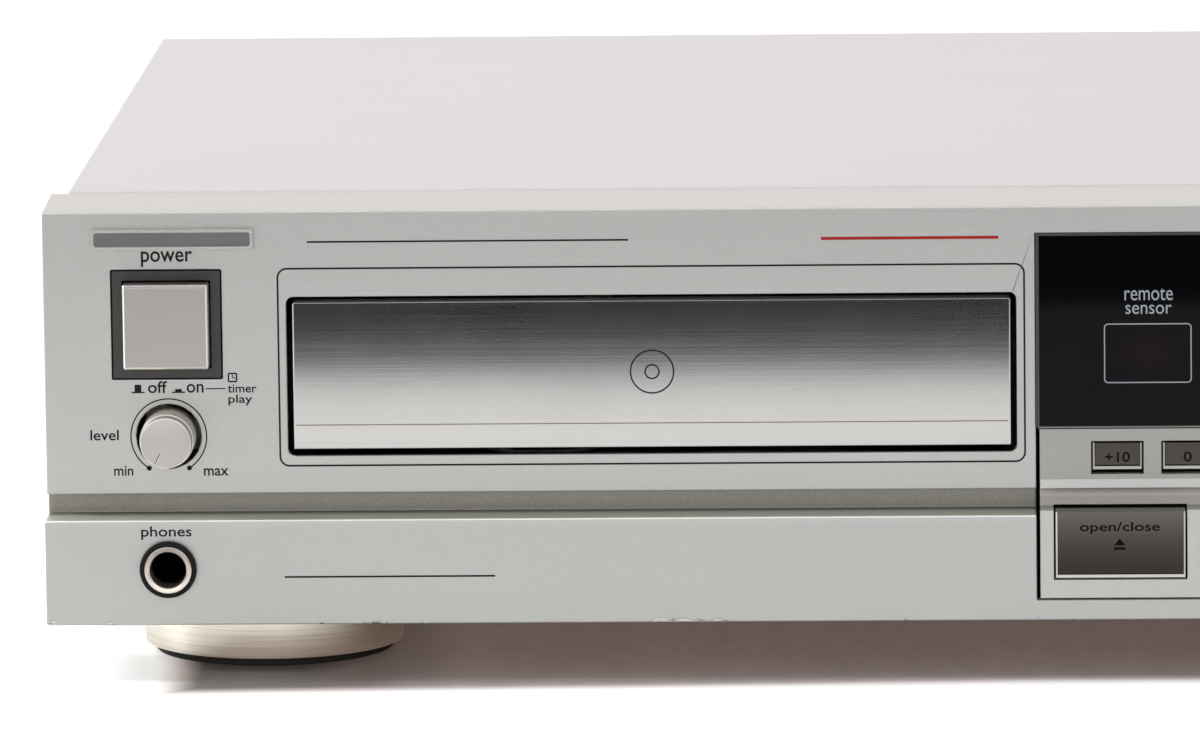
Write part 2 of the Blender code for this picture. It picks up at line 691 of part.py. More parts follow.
def make_front_panel(model):
    outline = [(0, 0), (0, LOWER_BLOCK_HEIGHT), (GROOVE_SETBACK, LOWER_BLOCK_HEIGHT),
               (GROOVE_SETBACK, UPPER_FACE_FOOT), (UPPER_SETBACK, UPPER_FACE_FOOT),
               (UPPER_SETBACK, PANEL_HEIGHT), (PANEL_DEPTH, STRIP_REAR_Z), (PANEL_DEPTH, 0)]
    groove_inner = GROOVE_SETBACK + PANEL_WALL
    hollow = [(PANEL_WALL, PANEL_WALL), (PANEL_WALL, LOWER_BLOCK_HEIGHT - PANEL_WALL),
              (groove_inner, LOWER_BLOCK_HEIGHT - PANEL_WALL), (groove_inner, UPPER_FACE_FOOT + PANEL_WALL),
              (UPPER_SETBACK + PANEL_WALL, UPPER_FACE_FOOT + PANEL_WALL),
              (UPPER_SETBACK + PANEL_WALL, PANEL_HEIGHT - PANEL_WALL),
              (PANEL_DEPTH + OVERRUN, PANEL_HEIGHT - PANEL_WALL), (PANEL_DEPTH + OVERRUN, PANEL_WALL)]
    gap = DRAWER_CLEARANCE
    opening = rounded_rectangle(DRAWER_LEFT - gap, DRAWER_LEFT + DRAWER_WIDTH + gap, DRAWER_SILL - gap,
                                DRAWER_SILL + DRAWER_HEIGHT + gap, DRAWER_EDGE_RADIUS)
    bezel_hole = BEZEL_SIZE + 2 * SEAT_GAP
    through = (-OVERRUN, GROOVE_SETBACK + PANEL_WALL + OVERRUN)
    cuts = [prism(hollow, "X", PANEL_WALL, PANEL_WIDTH - PANEL_WALL),
            prism(opening, "Y", *through),
            box(around(POWER_X, bezel_hole), through, around(POWER_Z, bezel_hole)),
            rod("Y", (KNOB_X, KNOB_Z), KNOB_HOLE_RADIUS, *through),
            rod("Y", (PHONES_X, PHONES_Z), PHONES_BARREL_RADIUS + SEAT_GAP, -OVERRUN, PANEL_WALL + OVERRUN),
            box((CONTROL_LEFT, CONTROL_RIGHT), through, (CONTROL_BOTTOM, WINDOW_TOP))]
    model.piece("front_panel", prism(outline, "X", 0, PANEL_WIDTH), satin_silver(), cut=cuts)


def make_nameplate(model):
    back = UPPER_SETBACK - SEAT_GAP
    shape = box((NAMEPLATE_LEFT, NAMEPLATE_LEFT + NAMEPLATE_WIDTH), (back - NAMEPLATE_THICKNESS, back),
                (NAMEPLATE_BOTTOM, NAMEPLATE_BOTTOM + NAMEPLATE_HEIGHT))
    model.piece("nameplate", shape, bright_steel())


def make_power(model):
    side = SIDE_BOARD_Y - SEAT_GAP
    face = UPPER_SETBACK - BUTTON_PROUD
    rear = face + BUTTON_DEPTH
    hole = BUTTON_SIZE + 2 * RUN_GAP
    bezel = box(around(POWER_X, BEZEL_SIZE), (UPPER_SETBACK, UPPER_SETBACK + BEZEL_DEPTH),
                around(POWER_Z, BEZEL_SIZE))
    window = box(around(POWER_X, hole), (-OVERRUN, PANEL_DEPTH), around(POWER_Z, hole))
    model.piece("power_bezel", bezel, grey_plastic(), cut=[window])

    half = BUTTON_SIZE / 2
    inner = half - BUTTON_CHAMFER
    cap = stepped_block((POWER_X, POWER_Z), ((inner, inner, face), (half, half, face + BUTTON_CHAMFER),
                                             (half, half, rear)))
    plunger_end = side - SWITCH_DEPTH - BUTTON_TRAVEL - SEAT_GAP
    plunger = rod("Y", (POWER_X, POWER_Z), PLUNGER_RADIUS, rear - BUTTON_CHAMFER, plunger_end,
                  SMALL_ROUND_SEGMENTS)
    model.piece("power_button", cap, warm_silver(), add=[plunger], origin=(POWER_X, face, POWER_Z))

    switch = box(around(POWER_X, SWITCH_SIZE), (side - SWITCH_DEPTH, side), around(POWER_Z, SWITCH_SIZE))
    model.piece("power_switch", switch, black_plastic())


def stepped_block(middle, sections):
    """Block along y from (half width, half height, y) sections about (x, z)."""
    verts = []
    for half_x, half_z, y in sections:
        for sx, sz in ((-1, -1), (1, -1), (1, 1), (-1, 1)):
            verts.append((middle[0] + sx * half_x, y, middle[1] + sz * half_z))
    faces = [(0, 1, 2, 3)]
    last = 4 * (len(sections) - 1)
    faces.append((last, last + 1, last + 2, last + 3))
    for level in range(len(sections) - 1):
        base = 4 * level
        for k in range(4):
            n = (k + 1) % 4
            faces.append((base + k, base + n, base + 4 + n, base + 4 + k))
    return shape_from(faces, verts)


def make_level_knob(model):
    centre = (KNOB_X, KNOB_Z)
    face = UPPER_SETBACK - KNOB_PROUD
    rear = face + KNOB_DEPTH
    shaft_end = rear + KNOB_SHAFT_LENGTH
    profile = [(0, face), (KNOB_FACE_RADIUS - KNOB_CHAMFER, face), (KNOB_FACE_RADIUS, face + KNOB_CHAMFER),
               (KNOB_BASE_RADIUS, rear), (KNOB_SHAFT_RADIUS, rear), (KNOB_SHAFT_RADIUS, shaft_end),
               (0, shaft_end)]
    mark = box(around(0, KNOB_MARK_WIDTH), (face - OVERRUN, face + KNOB_MARK_DEPTH),
               (KNOB_MARK_START, KNOB_FACE_RADIUS + OVERRUN))
    turn = Matrix.Rotation(-math.radians(KNOB_MARK_TURN), 4, "Y")
    bmesh.ops.transform(mark, matrix=Matrix.Translation((KNOB_X, 0, KNOB_Z)) @ turn, verts=mark.verts[:])
    model.piece("level_knob", turned(profile, "Y", centre), warm_silver(), cut=[mark],
                origin=(KNOB_X, face, KNOB_Z), smooth=True)

    side = SIDE_BOARD_Y - SEAT_GAP
    bore = KNOB_SHAFT_RADIUS + RUN_GAP
    body = box(around(KNOB_X, POT_SIZE), (side - POT_DEPTH, side), around(KNOB_Z, POT_SIZE))
    bush = rod("Y", centre, POT_BUSH_RADIUS, side - POT_DEPTH - POT_BUSH_LENGTH,
               side - POT_DEPTH + SEAT_GAP, SMALL_ROUND_SEGMENTS)
    hole = rod("Y", centre, bore, side - POT_DEPTH - POT_BUSH_LENGTH - OVERRUN, shaft_end + SEAT_GAP,
               SMALL_ROUND_SEGMENTS)
    model.piece("level_pot", body, plated_steel(), add=[bush], cut=[hole])


def make_phones_jack(model):
    centre = (PHONES_X, PHONES_Z)
    body_front = PANEL_WALL + SEAT_GAP
    body_rear = PHONES_BORE_DEPTH + PHONES_BODY_WALL
    body = box(around(PHONES_X, PHONES_BODY_SIZE), (body_front, body_rear),
               around(PHONES_Z, PHONES_BODY_SIZE))
    barrel = rod("Y", centre, PHONES_BARREL_RADIUS, -PHONES_BARREL_PROUD, body_front + SEAT_GAP)
    bore = rod("Y", centre, PHONES_BORE_RADIUS, -PHONES_BARREL_PROUD - OVERRUN, PHONES_BORE_DEPTH)
    model.piece("phones_jack", body, bright_steel(), add=[barrel], cut=[bore], smooth=True)
    ring = tube("Y", centre, PHONES_BARREL_RADIUS + SEAT_GAP, PHONES_RING_RADIUS,
                -SEAT_GAP - PHONES_RING_THICKNESS, -SEAT_GAP)
    model.piece("phones_ring", ring, black_plastic(), smooth=True)


def make_side_board(model):
    foot = CHASSIS_SHEET + SEAT_GAP
    board = box((SIDE_BOARD_LEFT, SIDE_BOARD_RIGHT), (SIDE_BOARD_Y, SIDE_BOARD_Y + BOARD_THICKNESS),
                (foot, foot + SIDE_BOARD_HEIGHT))
    model.piece("side_board", board, board_green())


def small_key_left(number):
    return SMALL_KEY_FIRST_LEFT + number * SMALL_KEY_PITCH


def large_key_lefts():
    """Name, left edge and width of each large key's hole."""
    left = LARGE_KEY_FIRST_LEFT
    places = []
    for name, share in LARGE_KEY_SHARES:
        width = share * (LARGE_KEY_ROW_WIDTH - LARGE_KEY_SPACE)
        places.append((name, left, width))
        left += width + LARGE_KEY_SPACING
    return places


def control_outline(set_in):
    """Outline of the control panel in y and z, set back evenly by `set_in`."""
    face = CONTROL_FACE_SETBACK + set_in
    upper = UPPER_SETBACK + set_in
    wall = CONTROL_FACE_SETBACK + CONTROL_LEDGE + set_in
    return [(face, CONTROL_BOTTOM + SEAT_GAP + set_in), (face, CONTROL_LOWER_TOP - set_in),
            (wall, CONTROL_LOWER_TOP - set_in), (upper + CONTROL_CHAMFER_DEPTH, CONTROL_CHAMFER_FOOT),
            (upper, CONTROL_CHAMFER_TOP)]


def make_control_panel(model):
    deep = UPPER_SETBACK + CONTROL_FLANGE
    top = CONTROL_TOP
    outline = control_outline(0) + [(UPPER_SETBACK, top), (deep, top), (deep, CONTROL_BOTTOM + SEAT_GAP)]
    hollow = control_outline(CONTROL_WALL)
    hollow += [(UPPER_SETBACK + CONTROL_WALL, top - CONTROL_WALL), (deep + OVERRUN, top - CONTROL_WALL),
               (deep + OVERRUN, CONTROL_BOTTOM + SEAT_GAP + CONTROL_WALL)]
    left = CONTROL_LEFT + CONTROL_SIDE_GAP
    right = CONTROL_RIGHT - CONTROL_SIDE_GAP
    cuts = [prism(hollow, "X", left + CONTROL_WALL, right - CONTROL_WALL)]
    through = (-OVERRUN, deep)
    for number in range(len(SMALL_KEY_NAMES)):
        x = small_key_left(number)
        cuts.append(box((x, x + SMALL_KEY_HOLE_WIDTH), through,
                        (SMALL_KEY_HOLE_BOTTOM, SMALL_KEY_HOLE_BOTTOM + SMALL_KEY_HOLE_HEIGHT)))
    for name, x, width in large_key_lefts():
        cuts.append(box((x, x + width), through,
                        (LARGE_KEY_HOLE_BOTTOM, LARGE_KEY_HOLE_BOTTOM + LARGE_KEY_HOLE_HEIGHT)))
    model.piece("control_panel", prism(outline, "X", left, right), satin_silver(), cut=cuts)


def key_shape(left, right, bottom, top, face):
    """Cap with a wide lower bevel, narrow side bevels and a square upper edge."""
    outer = ((left, bottom), (right, bottom), (right, top), (left, top))
    inner_left, inner_right = left + KEY_SIDE_BEVEL, right - KEY_SIDE_BEVEL
    inner_bottom = bottom + KEY_FOOT_BEVEL
    inner = ((inner_left, inner_bottom), (inner_right, inner_bottom), (inner_right, top), (inner_left, top))
    levels = ((inner, face), (outer, face + KEY_BEVEL_DEPTH), (outer, face + KEY_CAP_DEPTH))
    verts = [(x, y, z) for ring, y in levels for x, z in ring]
    faces = [(0, 1, 2, 3), (8, 9, 10, 11)]
    for base in (0, 4):
        for k in range(4):
            n = (k + 1) % 4
            faces.append((base + k, base + n, base + 4 + n, base + 4 + k))
    return shape_from(faces, verts)


def make_key(model, name, left, right, bottom, top, face):
    middle_x = (left + right) / 2
    middle_z = (bottom + top) / 2
    stem_end = CONTROL_BOARD_Y - KEY_TRAVEL - SEAT_GAP
    stem_start = face + KEY_CAP_DEPTH - KEY_BEVEL_DEPTH
    stem = box(around(middle_x, KEY_STEM_SIZE), (stem_start, stem_end), around(middle_z, KEY_STEM_SIZE))
    model.piece(name, key_shape(left, right, bottom, top, face), key_metal(), add=[stem],
                origin=(middle_x, face, middle_z))


def make_keys(model):
    bottom = SMALL_KEY_HOLE_BOTTOM + SMALL_KEY_DROP_GAP
    top = SMALL_KEY_HOLE_BOTTOM + SMALL_KEY_HOLE_HEIGHT - RUN_GAP
    for number, name in enumerate(SMALL_KEY_NAMES):
        left = small_key_left(number)
        make_key(model, name, left + RUN_GAP, left + SMALL_KEY_HOLE_WIDTH - RUN_GAP, bottom, top,
                 UPPER_SETBACK - SMALL_KEY_PROUD)
    bottom = LARGE_KEY_HOLE_BOTTOM + LARGE_KEY_DROP_GAP
    top = LARGE_KEY_HOLE_BOTTOM + LARGE_KEY_HOLE_HEIGHT - RUN_GAP
    for name, left, width in large_key_lefts():
        make_key(model, name, left + LARGE_KEY_SIDE_GAP, left + width - LARGE_KEY_SIDE_GAP, bottom, top,
                 CONTROL_FACE_SETBACK - LARGE_KEY_PROUD)


def make_display(model):
    glass = box((CONTROL_LEFT + WINDOW_SIDE_GAP, CONTROL_RIGHT - WINDOW_SIDE_GAP),
                (UPPER_SETBACK, UPPER_SETBACK + WINDOW_THICKNESS),
                (CONTROL_TOP + SEAT_GAP, WINDOW_TOP - SEAT_GAP))
    model.piece("display_window", glass, smoked_glass())
    rear = CONTROL_BOARD_Y - SEAT_GAP
    module = box((CONTROL_LEFT + DISPLAY_LEFT_MARGIN, CONTROL_RIGHT - DISPLAY_RIGHT_MARGIN),
                 (rear - DISPLAY_DEPTH, rear),
                 (DISPLAY_BOTTOM, DISPLAY_BOTTOM + DISPLAY_HEIGHT))
    model.piece("display_module", module, smoked_glass())
    foot = CHASSIS_SHEET + SEAT_GAP
    board = box((CONTROL_LEFT + CONTROL_BOARD_MARGIN, CONTROL_RIGHT - CONTROL_BOARD_MARGIN),
                (CONTROL_BOARD_Y, CONTROL_BOARD_Y + BOARD_THICKNESS), (foot, foot + CONTROL_BOARD_HEIGHT))
    model.piece("control_board", board, board_green())


def make_case(model):
    floor_z = (0, CHASSIS_SHEET)
    floor_y = (CASE_FRONT, REAR_PANEL_Y - SEAT_GAP)
    floor = box((CASE_LEFT, CASE_RIGHT), floor_y, floor_z)
    flange_z = (0, CHASSIS_FLANGE_HEIGHT)
    adds = [box((CASE_LEFT, CASE_LEFT + CHASSIS_SHEET), floor_y, flange_z),
            box((CASE_RIGHT - CHASSIS_SHEET, CASE_RIGHT), floor_y, flange_z)]
    for x in (MAIN_BOARD_LEFT + STANDOFF_INSET, MAIN_BOARD_RIGHT - STANDOFF_INSET):
        for y in (MAIN_BOARD_FRONT + STANDOFF_INSET, MAIN_BOARD_FRONT + MAIN_BOARD_DEPTH - STANDOFF_INSET):
            adds.append(rod("Z", (x, y), STANDOFF_RADIUS, 0, CHASSIS_SHEET + STANDOFF_HEIGHT,
                            SMALL_ROUND_SEGMENTS))
    cuts = []
    for number in range(VENT_SLOT_COUNT):
        x = VENT_LEFT + number * VENT_SLOT_PITCH
        cuts.append(box((x, x + VENT_SLOT_WIDTH), (VENT_Y, VENT_Y + VENT_SLOT_LENGTH),
                        (-OVERRUN, CHASSIS_SHEET + OVERRUN)))
    model.piece("chassis", floor, plated_steel(), add=adds, cut=cuts)

    left, right = COVER_INSET, PANEL_WIDTH - COVER_INSET
    outline = [(left, COVER_SIDE_FOOT), (left, COVER_TOP), (right, COVER_TOP), (right, COVER_SIDE_FOOT),
               (right - COVER_SHEET, COVER_SIDE_FOOT), (right - COVER_SHEET, COVER_TOP - COVER_SHEET),
               (left + COVER_SHEET, COVER_TOP - COVER_SHEET), (left + COVER_SHEET, COVER_SIDE_FOOT)]
    model.piece("top_cover", prism(outline, "Y", CASE_FRONT, COVER_REAR), painted_cover())

    sheet_y = (REAR_PANEL_Y, REAR_PANEL_Y + REAR_SHEET)
    through = (REAR_PANEL_Y - OVERRUN, REAR_PANEL_Y + REAR_SHEET + OVERRUN)
    sheet = box((CASE_LEFT, CASE_RIGHT), sheet_y, (0, COVER_TOP - COVER_SHEET - SEAT_GAP))
    holes = [rod("Y", (GLAND_X, GLAND_Z), GLAND_RADIUS + SEAT_GAP, *through, SMALL_ROUND_SEGMENTS),
             box(around(OPTICAL_X, OPTICAL_WIDTH + 2 * SEAT_GAP), through,
                 (CONNECTOR_Z - SEAT_GAP, CONNECTOR_Z + OPTICAL_HEIGHT + SEAT_GAP))]
    for x in jack_places():
        holes.append(rod("Y", (x, CONNECTOR_Z + JACK_BODY_HEIGHT / 2), JACK_RADIUS + SEAT_GAP, *through,
                         SMALL_ROUND_SEGMENTS))
    for number in range(VENT_SLOT_COUNT):
        x = REAR_VENT_LEFT + number * VENT_SLOT_PITCH
        holes.append(box((x, x + VENT_SLOT_WIDTH), through,
                         (REAR_VENT_BOTTOM, REAR_VENT_BOTTOM + VENT_SLOT_LENGTH)))
    model.piece("rear_panel", sheet, plated_steel(), cut=holes)


def jack_places():
    return around(JACK_X, JACK_PITCH)


def make_rear_connectors(model):
    body_y = (CONNECTOR_REAR - JACK_BODY_DEPTH, CONNECTOR_REAR)
    middle = CONNECTOR_Z + JACK_BODY_HEIGHT / 2
    body = box(around(JACK_X, JACK_BODY_WIDTH), body_y, (CONNECTOR_Z, CONNECTOR_Z + JACK_BODY_HEIGHT))
    barrels = [rod("Y", (x, middle), JACK_RADIUS, CONNECTOR_REAR - SEAT_GAP, REAR_MOST, SMALL_ROUND_SEGMENTS)
               for x in jack_places()]
    model.piece("line_out_jacks", body, black_plastic(), add=barrels)

    port_y = COVER_REAR + OPTICAL_PROUD
    body = box(around(OPTICAL_X, OPTICAL_WIDTH), (port_y - OPTICAL_DEPTH, port_y),
               (CONNECTOR_Z, CONNECTOR_Z + OPTICAL_HEIGHT))
    port = box(around(OPTICAL_X, OPTICAL_PORT), (port_y - OPTICAL_PORT_DEPTH, port_y + OVERRUN),
               around(CONNECTOR_Z + OPTICAL_HEIGHT / 2, OPTICAL_PORT))
    model.piece("optical_out", body, black_plastic(), cut=[port])

    front = REAR_PANEL_Y - SEAT_GAP - GLAND_LENGTH
    flange = COVER_REAR + SEAT_GAP
    profile = [(GLAND_BORE_RADIUS, front), (GLAND_RADIUS, front), (GLAND_RADIUS, flange),
               (GLAND_FLANGE_RADIUS, flange), (GLAND_FLANGE_RADIUS, flange + GLAND_FLANGE),
               (GLAND_BORE_RADIUS, flange + GLAND_FLANGE)]
    model.piece("cord_gland", turned(profile, "Y", (GLAND_X, GLAND_Z), SMALL_ROUND_SEGMENTS, ring=True),
                black_plastic(), smooth=True)


def make_boards_and_transformer(model):
    board = box((MAIN_BOARD_LEFT, MAIN_BOARD_RIGHT), (MAIN_BOARD_FRONT, MAIN_BOARD_FRONT + MAIN_BOARD_DEPTH),
                (MAIN_BOARD_Z, MAIN_BOARD_TOP))
    adds = []
    for number in range(CAPACITOR_COUNT):
        x = MAIN_BOARD_LEFT + CAPACITOR_FIRST + number * CAPACITOR_PITCH
        adds.append(rod("Z", (x, CAPACITOR_Y), CAPACITOR_RADIUS, MAIN_BOARD_Z,
                        MAIN_BOARD_TOP + CAPACITOR_HEIGHT, SMALL_ROUND_SEGMENTS))
    first_chip = (MAIN_BOARD_LEFT + MAIN_BOARD_RIGHT - (CHIP_COUNT - 1) * CHIP_PITCH) / 2
    chip_z = (MAIN_BOARD_Z, MAIN_BOARD_TOP + CHIP_HEIGHT)
    for number in range(CHIP_COUNT):
        x = first_chip + number * CHIP_PITCH
        adds.append(box(around(x, CHIP_SIZE), around(CHIP_Y, CHIP_SIZE), chip_z))
    sink_z = (MAIN_BOARD_Z, MAIN_BOARD_TOP + HEAT_SINK_HEIGHT)
    adds.append(box(around(MAIN_BOARD_LEFT + HEAT_SINK_FIRST, HEAT_SINK_WIDTH),
                    around(HEAT_SINK_Y, HEAT_SINK_LENGTH), sink_z))
    model.piece("main_board", board, board_green(), add=adds)

    foot = CHASSIS_SHEET + SEAT_GAP
    core = box(around(TRANSFORMER_X, CORE_WIDTH), around(TRANSFORMER_Y, CORE_DEPTH),
               (foot, foot + CORE_HEIGHT))
    coil = box(around(TRANSFORMER_X, COIL_WIDTH), around(TRANSFORMER_Y, COIL_DEPTH),
               around(foot + CORE_HEIGHT / 2, COIL_HEIGHT))
    model.piece("transformer", core, iron(), add=[coil])


def make_feet(model):
    top = -SEAT_GAP
    bottom = top - FOOT_HEIGHT
    skirt = bottom + PAD_SHOW
    pad_top = bottom + PAD_THICKNESS
    pocket = PAD_RADIUS + SEAT_GAP
    ceiling = top - FOOT_WALL
    well = PAD_RADIUS - FOOT_WALL
    for side, x in (("left", FRONT_FOOT_X), ("right", PANEL_WIDTH - FRONT_FOOT_X)):
        centre = (x, FRONT_FOOT_Y)
        profile = [(0, top), (FOOT_RADIUS, top), (FOOT_RADIUS, skirt + FOOT_ROUND),
                   (FOOT_RADIUS - FOOT_ROUND_STEP, skirt + FOOT_ROUND_STEP), (pocket + SEAT_GAP, skirt),
                   (pocket, skirt), (pocket, pad_top + SEAT_GAP), (well, pad_top + SEAT_GAP),
                   (well, ceiling), (0, ceiling)]
        foot = turned(profile, "Z", centre, WIDE_ROUND_SEGMENTS)
        model.piece(f"front_foot_{side}", foot, champagne_metal(), smooth=True)
        pad = [(0, bottom), (PAD_RADIUS, bottom), (PAD_RADIUS, pad_top), (0, pad_top)]
        sole = turned(pad, "Z", centre, WIDE_ROUND_SEGMENTS)
        model.piece(f"front_pad_{side}", sole, rubber(), smooth=True)
        rear_centre = (x, REAR_FOOT_Y)
        rear = [(0, bottom), (REAR_FOOT_RADIUS - REAR_FOOT_ROUND, bottom),
                (REAR_FOOT_RADIUS, bottom + REAR_FOOT_ROUND), (REAR_FOOT_RADIUS, top), (0, top)]
        model.piece(f"rear_foot_{side}", turned(rear, "Z", rear_centre), black_plastic(), smooth=True)


def make_drawer(model):
    left, right = DRAWER_LEFT, DRAWER_LEFT + DRAWER_WIDTH
    rear = DRAWER_FACE_Y + DRAWER_THICKNESS
    top = DRAWER_SILL + DRAWER_HEIGHT
    crease = DRAWER_SILL + DRAWER_CREASE
    outline = [(DRAWER_FACE_Y + CREASE_STEP, DRAWER_SILL), (DRAWER_FACE_Y, crease),
               (DRAWER_FACE_Y + DRAWER_LEAN, top), (rear, top), (rear, DRAWER_SILL)]
    model.piece("drawer_front", prism(outline, "X", left, right), warm_silver(),
                origin=(MECH_X, 0, DRAWER_SILL))

    sides = (MECH_X - TRAY_HALF_WIDTH, MECH_X + TRAY_HALF_WIDTH)
    tray = box(sides, (TRAY_FRONT, TRAY_REAR), (TRAY_BOTTOM, TRAY_TOP))
    above = TRAY_TOP + OVERRUN
    below = TRAY_BOTTOM - RACK_DEPTH - OVERRUN
    centre = (MECH_X, DISC_CENTRE_Y)
    slot = [(MECH_X - SLOT_HALF_WIDTH, TRAY_REAR + OVERRUN), (MECH_X + SLOT_HALF_WIDTH, TRAY_REAR + OVERRUN)]
    for k in range(SMALL_ROUND_SEGMENTS + 1):
        angle = -math.pi * k / SMALL_ROUND_SEGMENTS
        slot.append((MECH_X + SLOT_HALF_WIDTH * math.cos(angle),
                     DISC_CENTRE_Y + SLOT_FRONT * math.sin(angle)))
    rack_back = MECH_X - TRAY_HALF_WIDTH + RACK_LEFT
    teeth = rack_outline(rack_back, RACK_PITCH_X, GEAR_Y, RACK_MODULE, TRAY_FRONT + RACK_END_MARGIN,
                         TRAY_REAR - RACK_END_MARGIN)
    rack = prism(teeth, "Z", TRAY_BOTTOM - RACK_DEPTH, TRAY_BOTTOM + TRAY_FLOOR / 2)
    small_floor = DISC_FLOOR - SMALL_DISC_STEP
    seat = [(0, small_floor), (SMALL_DISC_RADIUS, small_floor), (SMALL_DISC_RADIUS, DISC_FLOOR),
            (DISC_SEAT_RADIUS, DISC_FLOOR), (DISC_SEAT_RADIUS, above), (0, above)]
    cuts = [prism(slot, "Z", below, above), turned(seat, "Z", centre, WIDE_ROUND_SEGMENTS)]
    model.piece("disc_tray", tray, black_plastic(), add=[rack], cut=cuts,
                origin=(MECH_X, TRAY_FRONT, TRAY_BOTTOM))


def make_loader_frame(model):
    rear = FRAME_FRONT + FRAME_LENGTH
    walls_y = (FRAME_FRONT, rear)
    left_wall = (MECH_X - WALL_OUTER, MECH_X - WALL_INNER)
    right_wall = (MECH_X + WALL_INNER, MECH_X + WALL_OUTER)
    overlap = FRAME_WALL / 2
    span = (left_wall[1] - overlap, right_wall[0] + overlap)
    shelf_z = (SHELF_TOP - SHELF_THICKNESS, SHELF_TOP)
    rail_z = (TRAY_BOTTOM - SEAT_GAP - RAIL_HEIGHT, TRAY_BOTTOM - SEAT_GAP)
    adds = [box(right_wall, walls_y, (WALL_FOOT, WALL_TOP)),
            box(span, (FRAME_FRONT, FRAME_FRONT + SHELF_DEPTH), shelf_z),
            box((left_wall[1] - overlap, left_wall[1] + RAIL_WIDTH), walls_y, rail_z),
            box((right_wall[0] - RAIL_WIDTH, right_wall[0] + overlap), walls_y, rail_z),
            box(span, (rear - REAR_BEAM_DEPTH, rear), (REAR_BEAM_TOP - REAR_BEAM_HEIGHT, REAR_BEAM_TOP))]
    ear_x = (MECH_X - DECK_LEFT_REACH - SEAT_GAP, MECH_X + DECK_RIGHT_REACH + SEAT_GAP)
    bracket_top = PIVOT_Z + PIVOT_EAR_ROUND
    bracket_y = (PIVOT_Y - PIVOT_EAR_ROUND, rear)
    for x in ((ear_x[0] - BRACKET_WIDTH, ear_x[0]), (ear_x[1], ear_x[1] + BRACKET_WIDTH)):
        adds.append(box(x, bracket_y, (REAR_BEAM_TOP - REAR_BEAM_HEIGHT, bracket_top)))
    post_tops = ((TRAY_GEAR_X, GEAR_TOP), (PULLEY_X, PINION_Z + SEAT_GAP))
    for x, top in post_tops:
        adds.append(rod("Z", (x, GEAR_Y), POST_RADIUS, shelf_z[0], top, SMALL_ROUND_SEGMENTS))
    pin_reach = PIVOT_PIN_LENGTH + OVERRUN
    pin_x = (MECH_X - DECK_LEFT_REACH - pin_reach, MECH_X + DECK_RIGHT_REACH + pin_reach)
    cuts = [rod("Z", (MOTOR_X, GEAR_Y), MOTOR_SHAFT_RADIUS + RUN_GAP, shelf_z[0] - OVERRUN,
                SHELF_TOP + OVERRUN, SMALL_ROUND_SEGMENTS),
            rod("X", (PIVOT_Y, PIVOT_Z), PIVOT_RADIUS + RUN_GAP, *pin_x, SMALL_ROUND_SEGMENTS)]
    model.piece("mechanism_base", box(left_wall, walls_y, (WALL_FOOT, WALL_TOP)), black_plastic(),
                add=adds, cut=cuts)


def make_clamp(model):
    centre = (MECH_X, DISC_CENTRE_Y)
    span = (MECH_X - WALL_OUTER, MECH_X + WALL_OUTER)
    plate_y = around(DISC_CENTRE_Y, BRIDGE_WIDTH)
    plate = box(span, plate_y, (BRIDGE_BOTTOM, BRIDGE_TOP))
    rib_z = (BRIDGE_BOTTOM, BRIDGE_TOP + BRIDGE_RIB_HEIGHT)
    ribs = [box(span, (plate_y[0], plate_y[0] + BRIDGE_RIB_WIDTH), rib_z),
            box(span, (plate_y[1] - BRIDGE_RIB_WIDTH, plate_y[1]), rib_z)]
    through = (BRIDGE_BOTTOM - OVERRUN, BRIDGE_TOP + OVERRUN)
    hole = rod("Z", centre, PUCK_NECK_RADIUS + BRIDGE_HOLE_GAP, *through)
    model.piece("clamp_bridge", plate, plated_steel(), add=ribs, cut=[hole])

    bottom = TURNTABLE_TOP + SEAT_GAP
    lip = bottom + PUCK_LIP
    flange = BRIDGE_TOP + PUCK_LIFT
    top = flange + PUCK_FLANGE_THICKNESS
    profile = [(0, lip), (PUCK_RECESS_RADIUS, lip), (PUCK_RECESS_RADIUS, bottom), (PUCK_RADIUS, bottom),
               (PUCK_RADIUS, lip), (PUCK_NECK_RADIUS, lip + PUCK_LIP), (PUCK_NECK_RADIUS, flange),
               (PUCK_FLANGE_RADIUS, flange), (PUCK_FLANGE_RADIUS, top), (0, top)]
    model.piece("clamp_puck", turned(profile, "Z", centre), black_plastic(), origin=(*centre, bottom),
                smooth=True)


